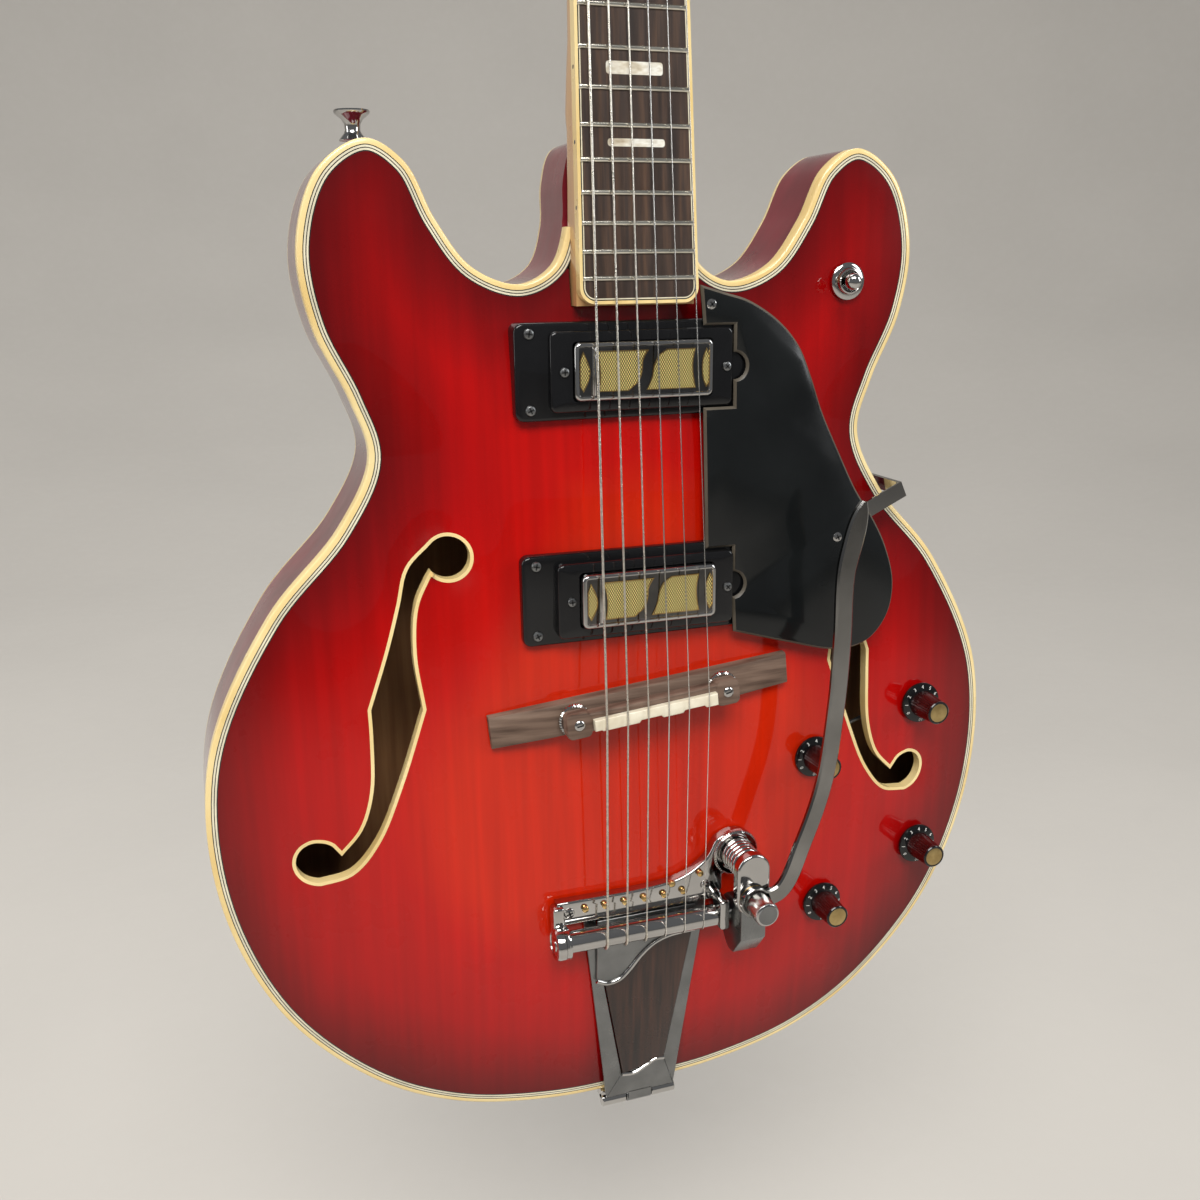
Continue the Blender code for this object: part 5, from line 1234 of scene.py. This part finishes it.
def build_vibrato():
    """Rocker bar with its lever and stud, coil spring, flat arm and knurled clamp knob."""
    rocker = Piece("rocker_and_lever")
    axis_at = (0, raised(ROCKER_HEIGHT), ROCKER_Z)
    rocker.add(lathe(((0, -0.0408), (0.0052, -0.0408), (0.0055, -0.0405), (0.0055, 0.0365),
        (0.0052, 0.0368), (0.004, 0.0372), (0.004, 0.045), (0, 0.045)), "X", 64, axis_at), "chrome")
    low, high = 0.0345, 0.0395
    side = smooth_path(((-0.7735, 0.03), (-0.774, 0.024), (-0.769, 0.018), (-0.761, 0.0138),
        (-0.75, 0.015), (-0.744, 0.021)), 5)
    side += [Vector((-0.743, low)), Vector((-0.73, low)), Vector((-0.73, high - 0.0004)),
        Vector((-0.762, high - 0.0004))]
    lever = loft([[Vector((x, raised(p.y), p.x)) for p in side]
                  for x in (0.0436, 0.0572)])
    sharp = [e for e in lever.edges if len(e.link_faces) == 2 and e.calc_face_angle() > 0.6]
    bmesh.ops.bevel(lever, geom=sharp, offset=0.0007, segments=2, profile=0.5, affect="EDGES")
    rocker.add(lever, "satin")
    boss = (arc((SPRING_AT[0], SPRING_AT[1]), 0.0088, 0, 180, 24) + arc((ARM_PIVOT[0],
        ARM_PIVOT[1]), 0.0088, 180, 360, 24))
    rocker.add(plate(boss, raised(high), raised(low), edge=0.0014, steps=5), "chrome")
    pivot = (ARM_PIVOT[0], 0, ARM_PIVOT[1])
    rocker.add(lathe(rod(0.003, raised(high + 0.007), raised(high)), "Y", 32, pivot), "plain_steel")
    ring = raised_profile((0.0035, high - 0.001), (0.0079, high - 0.001), (0.0079, high + 0.0002),
        (0.0035, high + 0.0002), (0.0035, high - 0.001))
    rocker.add(lathe(ring, "Y", 48, pivot), "brass")
    for number in range(6):
        at = string_x(number, STRINGS_HALF_AT_SADDLE) + TAIL_X + 0.0006
        rocker.add(lathe(((0, -0.006), (0.0007, -0.006), (0.0008, -0.005), (0, -0.005)), "Z", 12,
            (at + 0.0011, raised(ROCKER_HEIGHT), ROCKER_Z)), "brass")
    rocker.place("rocker", ("rocker_bar",), slot="chrome", smooth=35)

    spring = Piece("coil_spring")
    wire = 0.0015
    first, last = SPRING_FOOT + wire + GAP, low - wire - GAP
    turns, per_turn, coil_radius = 5, 28, 0.007
    coil = []
    for i in range(turns * per_turn + 1):
        a = 2 * math.pi * i / per_turn
        coil.append(Vector((SPRING_AT[0] + coil_radius * math.cos(a),
                            raised(first + (last - first) * i / (turns * per_turn)),
                            SPRING_AT[1] + coil_radius * math.sin(a))))
    spring.add(pipe(coil, wire, 14), "chrome")
    made = spring.place(instead_of=("vibrato_spring",), slot="steel", smooth=60)
    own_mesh(made)

    arm = Piece("vibrato_bar")
    path = arm_path()
    rings = []
    for i, p in enumerate(path):
        run = (path[min(i + 1, len(path) - 1)] - path[max(i - 1, 0)]).normalized()
        across = Vector((run.z, 0, -run.x)).normalized()
        front = across.cross(run).normalized()
        if front.y > 0:
            front = -front
        share = i / (len(path) - 1)
        width = 0.009 + 0.001 * math.sin(math.pi * min(1.0, max(0.0, share - 0.72) / 0.28))
        width *= math.sqrt(max(0.1, 1 - max(0.0, share - 0.9) ** 2 / 0.0103))
        half, thick, soft = width / 2, ARM_HALF_THICKNESS, 0.0009
        rings.append([p + across * a + front * b for a, b in
                      ((-half, -thick + soft * 0.5), (-half, thick - soft), (-half + soft, thick),
                       (half - soft, thick), (half, thick - soft), (half, -thick + soft * 0.5),
                       (half - soft, -thick), (-half + soft, -thick))])
    arm.add(loft(rings), "arm")
    mid = raised(ARM_HEIGHT)
    arm.add(lathe(((0.0034, mid - 0.0015), (0.0076, mid - 0.0015), (0.008, mid - 0.0011),
        (0.008, mid + 0.0011), (0.0076, mid + 0.0015), (0.0034, mid + 0.0015),
        (0.0034, mid - 0.0015)), "Y", 48, pivot), "arm")
    arm.place("arm", ("vibrato_arm",), slot="chrome", smooth=30)

    clamp = Piece("knurled_clamp")
    foot = raised(ARM_HEIGHT + ARM_HALF_THICKNESS + 0.0004)
    clamp.add(lathe(((0, foot), (0.0058, foot), (0.0063, foot - 0.0004), (0.0063, foot - 0.0108),
        (0.0058, foot - 0.0116), (0.0052, foot - 0.012), (0, foot - 0.012)), "Y", 240, pivot,
        ripple=(48, 0.00035, 2, 3)), "chrome")
    clamp.add(lathe(((0, foot - 0.0119), (0.005, foot - 0.0119), (0.0049, foot - 0.01215),
        (0, foot - 0.01215)), "Y", 48, pivot), "satin")
    clamp.place("clamp_knob", ("arm_knob",), slot="chrome", smooth=35)


# ---- controls
def numeral(text, height):
    """Mesh of a numeral in the XY plane, centred."""
    curve = bpy.data.curves.new("numeral", "FONT")
    curve.body = text
    curve.size = height
    curve.align_x = curve.align_y = "CENTER"
    curve.resolution_u = 2
    thing = linked("numeral", curve)
    mesh = bpy.data.meshes.new_from_object(thing.evaluated_get(bpy.context.evaluated_depsgraph_get()))
    bm = bmesh.new()
    bm.from_mesh(mesh)
    bpy.data.meshes.remove(mesh)
    bpy.data.objects.remove(thing)
    bpy.data.curves.remove(curve)
    made = bmesh.ops.extrude_face_region(bm, geom=bm.faces[:])["geom"]
    for vert in made:
        if isinstance(vert, bmesh.types.BMVert):
            vert.co.z += 0.0001
    bmesh.ops.recalc_face_normals(bm, faces=bm.faces)
    return bm


def build_controls():
    """Fluted knobs with dial skirts, the toggle switch, the jack and the strap buttons."""
    lean = math.atan2(0.001, 0.0036)
    for name, (x, foot, z) in KNOBS.items():
        knob = Piece(f"{name}_dial")
        here = Matrix.Translation((x, foot, z))
        knob.add(lathe(((0, 0.0), (0.0108, 0.0), (0.011, -0.0006), (0.0109, -0.0013),
            (0.0106, -0.0017), (0.0073, -0.0027), (0, -0.0027)), "Y", 64), "black", here)
        knob.add(lathe(((0, -0.0024), (0.0072, -0.0024), (0.0071, -0.003), (0.0061, -0.0163),
            (0.0061, -0.0168), (0.006, -0.0174), (0.0057, -0.0178), (0, -0.0178)), "Y", 180,
            ripple=(30, 0.0007, 1, 3)), "knob", here)
        knob.add(lathe(((0.006, -0.0166), (0.0061, -0.0176), (0.0057, -0.018), (0.005, -0.018),
            (0.0049, -0.0177), (0.0049, -0.0166)), "Y", 64), "black", here)
        knob.add(lathe(((0, -0.017), (0.0049, -0.017), (0.0049, -0.0179), (0.0046, -0.018),
            (0, -0.018)), "Y", 48), "gold_cap", here)
        for number in range(11):
            angle = math.radians(210 - 30 * number)
            spin = here @ Matrix.Rotation(math.pi / 2 - angle, 4, "Y")
            spot = spin @ Matrix.Translation((0, -0.00222, 0.009))
            upright = Matrix.Rotation(math.pi / 2 - lean, 4, "X")
            knob.add(numeral(str(number), 0.0026), "dial", spot @ upright)
        knob.place(f"{name}_knob", (f"knob_{name}",), slot="knob_plastic", smooth=35)

    x, surface, z = SWITCH
    foot = surface - 0.0004
    collar = Piece("switch_collar")
    collar.add(lathe(((0.0046, foot - 0.0028), (0.0052, foot - 0.0032), (0.0058, foot - 0.003),
        (0.0062, foot - 0.0021), (0.0064, foot - 0.0014), (0.0078, foot - 0.0012),
        (0.0085, foot - 0.0006), (0.0085, foot + 0.0006), (0.0055, foot + 0.001),
        (0.0046, foot + 0.001), (0.0046, foot - 0.0028)), "Y", 64, (x, 0, z)), "chrome")
    # a dark cylinder of painted shadow fills the collar's hole, standing in for the shade inside it
    collar.add(lathe(((0, foot + 0.0004), (0.0047, foot + 0.0004), (0.0047, foot + 0.023),
        (0, foot + 0.023)), "Y", 24, (x, 0, z)), "shadow")
    collar.place(instead_of=("switch_body",), slot="chrome", smooth=35)
    lever = Piece("toggle_lever")
    here = Matrix.Translation((x, surface + 0.001, z)) @ Matrix.Rotation(math.radians(-18), 4, "Z")
    lever.add(lathe(((0, 0.002), (0.0015, 0.002), (0.0015, -0.011), (0.0019, -0.0122),
        (0.0028, -0.0134), (0.0035, -0.0148), (0.0038, -0.0163), (0.0035, -0.018),
        (0.0026, -0.0192), (0.0012, -0.0198), (0, -0.0198)), "Y", 48), "chrome", here)
    lever.place("switch", ("switch_lever",), slot="chrome", smooth=60)

    jack = Piece("jack_nut")
    jx, jy, jz = 0.2027, RIM_Y + 0.023, -0.685
    jack.add(lathe(((0.0034, jx + 0.0024), (0.0072, jx + 0.0024), (0.0074, jx + 0.0028),
        (0.007, jx + 0.0034), (0.005, jx + 0.0036), (0.004, jx + 0.0036), (0.0034, jx + 0.003),
        (0.0034, jx + 0.0024)), "X", 48, (0, jy, jz)), "chrome")
    for dy, dz in ((-0.0115, -0.0115), (-0.0115, 0.0115), (0.0115, -0.0115), (0.0115, 0.0115)):
        screw(jack, (jx + 0.0025, jy + dy, jz + dz), 0.0019, 0.0008, turn=dy * 50 + dz * 9,
            axis=(1, 0, 0))
    jack.place(slot="chrome", smooth=35)

    profile = ((0, 0), (0.0058, 0), (0.006, 0.0003), (0.0052, 0.0012), (0.0038, 0.0028),
        (0.0032, 0.0042), (0.0034, 0.0066), (0.0046, 0.0086), (0.0066, 0.0101), (0.0074, 0.0109),
        (0.0076, 0.0116), (0.0073, 0.0122), (0, 0.0122))
    ends = (("horn", (-0.115, -0.006, -0.3847), 1), ("tail", (TAIL_X, -0.004, -0.8636), -1))
    for name, centre, way in ends:
        button = Piece(f"strap_peg_{name}")
        button.add(lathe([(r, d * way) for r, d in profile], "Z", 64, centre), "chrome")
        top = (centre[0], centre[1], centre[2] + way * 0.0117)
        screw(button, top, 0.003, 0.0005, turn=0.6, axis=(0, 0, way), metal="satin")
        button.place(instead_of=(f"strap_button_{name}",), slot="chrome", smooth=40)


def finish_frame_nodes():
    """New materials, and soft edges, on the CAD pieces that stay."""
    for name in ("centre_block", "control_pots", "neck_plate", "tuner_plate_bass",
                 "tuner_plate_treble", "pickguard_bracket", "output_jack"):
        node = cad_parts[name]
        for place in node.material_slots:
            place.material = M[{"centre_block": "inner", "control_pots": "satin"}.get(name, "chrome")]
        rounding = node.modifiers.new("rounding", "BEVEL")
        rounding.width = 0.0003
        rounding.segments = 2
        rounding.limit_method = "ANGLE"
        rounding.angle_limit = math.radians(40)
    screws = Piece("neck_bolts")
    for x in (-0.014, 0.014):
        for z in (-0.3985, -0.4375):
            screw(screws, (x, BACK_Y + 0.0066, z), 0.0042, 0.0022, turn=x * 30 + z, axis=(0, 1, 0))
    screws.place(slot="chrome", smooth=35)


# ---- stage
def area_light(name, place, target, size, power, colour=(1, 1, 1), spread=180):
    """A soft light aimed at a point; a narrower spread keeps more of it off the floor."""
    light = bpy.data.lights.new(name, "AREA")
    light.spread = math.radians(spread)
    light.shape = "RECTANGLE"
    light.size, light.size_y = size
    light.energy = power
    light.color = colour
    thing = linked(name, light)
    thing.location = place
    thing.rotation_euler = (Vector(target) - Vector(place)).to_track_quat("-Z", "Y").to_euler()


def smooth_step(value):
    """0 below -0.2, 1 above 0.2 and a smooth rise between."""
    share = max(0.0, min(1.0, (value + 0.2) / 0.4))
    return share * share * (3 - 2 * share)


def build_stage():
    """Pale floor that curves up far behind, soft lights and the camera."""
    pale = material("pale_paper", two((0.56, 0.53, 0.485), 0.98, 1.02), 0.9, grain=2,
        bump=(40, 0.05))
    rings = [[Vector((radius * math.cos(a), radius * math.sin(a),
                      FLOOR_Z + height * smooth_step(math.sin(a)))) for a in circle(96)]
             for radius, height in FLOOR_RINGS]
    bm = loft(rings)
    bm.faces.ensure_lookup_table()
    bm.faces.remove(bm.faces[1])  # the outer cap, which would close the room like a slanted ceiling
    mesh = bpy.data.meshes.new("floor")
    bm.to_mesh(mesh)
    bm.free()
    mesh.materials.append(pale)
    mesh.shade_smooth()
    linked("floor", mesh)

    world = bpy.data.worlds.new("soft_room")
    nodes, links = tree_of(world)
    sky = nodes["Background"]
    sky.inputs["Color"].default_value = (0.8, 0.82, 0.85, 1)
    path = nodes.new("ShaderNodeLightPath")
    strength = nodes.new("ShaderNodeMapRange")
    strength.inputs["To Min"].default_value = 0.22
    strength.inputs["To Max"].default_value = 0.55
    links.new(path.outputs["Is Camera Ray"], strength.inputs["Value"])
    links.new(strength.outputs["Result"], sky.inputs["Strength"])
    bpy.context.scene.world = world
    bpy.context.scene.view_settings.view_transform = "Standard"
    area_light("key", (-0.7, -2.1, 1.7), LIGHTS_AIM, (2.4, 1.2), 50, (1.0, 0.985, 0.96), 120)
    area_light("fill", (2.5, -1.5, 0.6), LIGHTS_AIM, (0.9, 1.8), 15, (0.96, 0.98, 1.0), 120)
    area_light("side_left", (-2.3, 0.2, 0.3), LIGHTS_AIM, (0.8, 2.0), 18)
    area_light("back_top", (0.4, 1.6, 2.6), (0.0, 2.6, -0.6), (3.0, 1.6), 62)

    lens = bpy.data.cameras.new("camera")
    lens.lens = 36
    lens.sensor_width = 36
    camera = linked("camera", lens)
    right = Vector(CAMERA_RIGHT).normalized()
    back = Vector(CAMERA_BACK).normalized()
    up = back.cross(right).normalized()
    turn = Matrix((right, up, back)).transposed().to_4x4()
    camera.matrix_world = Matrix.Translation(CAMERA_PLACE) @ turn
    bpy.context.scene.camera = camera


def main():
    tree = build_body()
    build_neck()
    build_tuners()
    build_strings()
    build_pickups(tree)
    build_guard()
    build_bridge(tree)
    build_tailpiece()
    build_vibrato()
    build_controls()
    finish_frame_nodes()
    build_stage()


main()
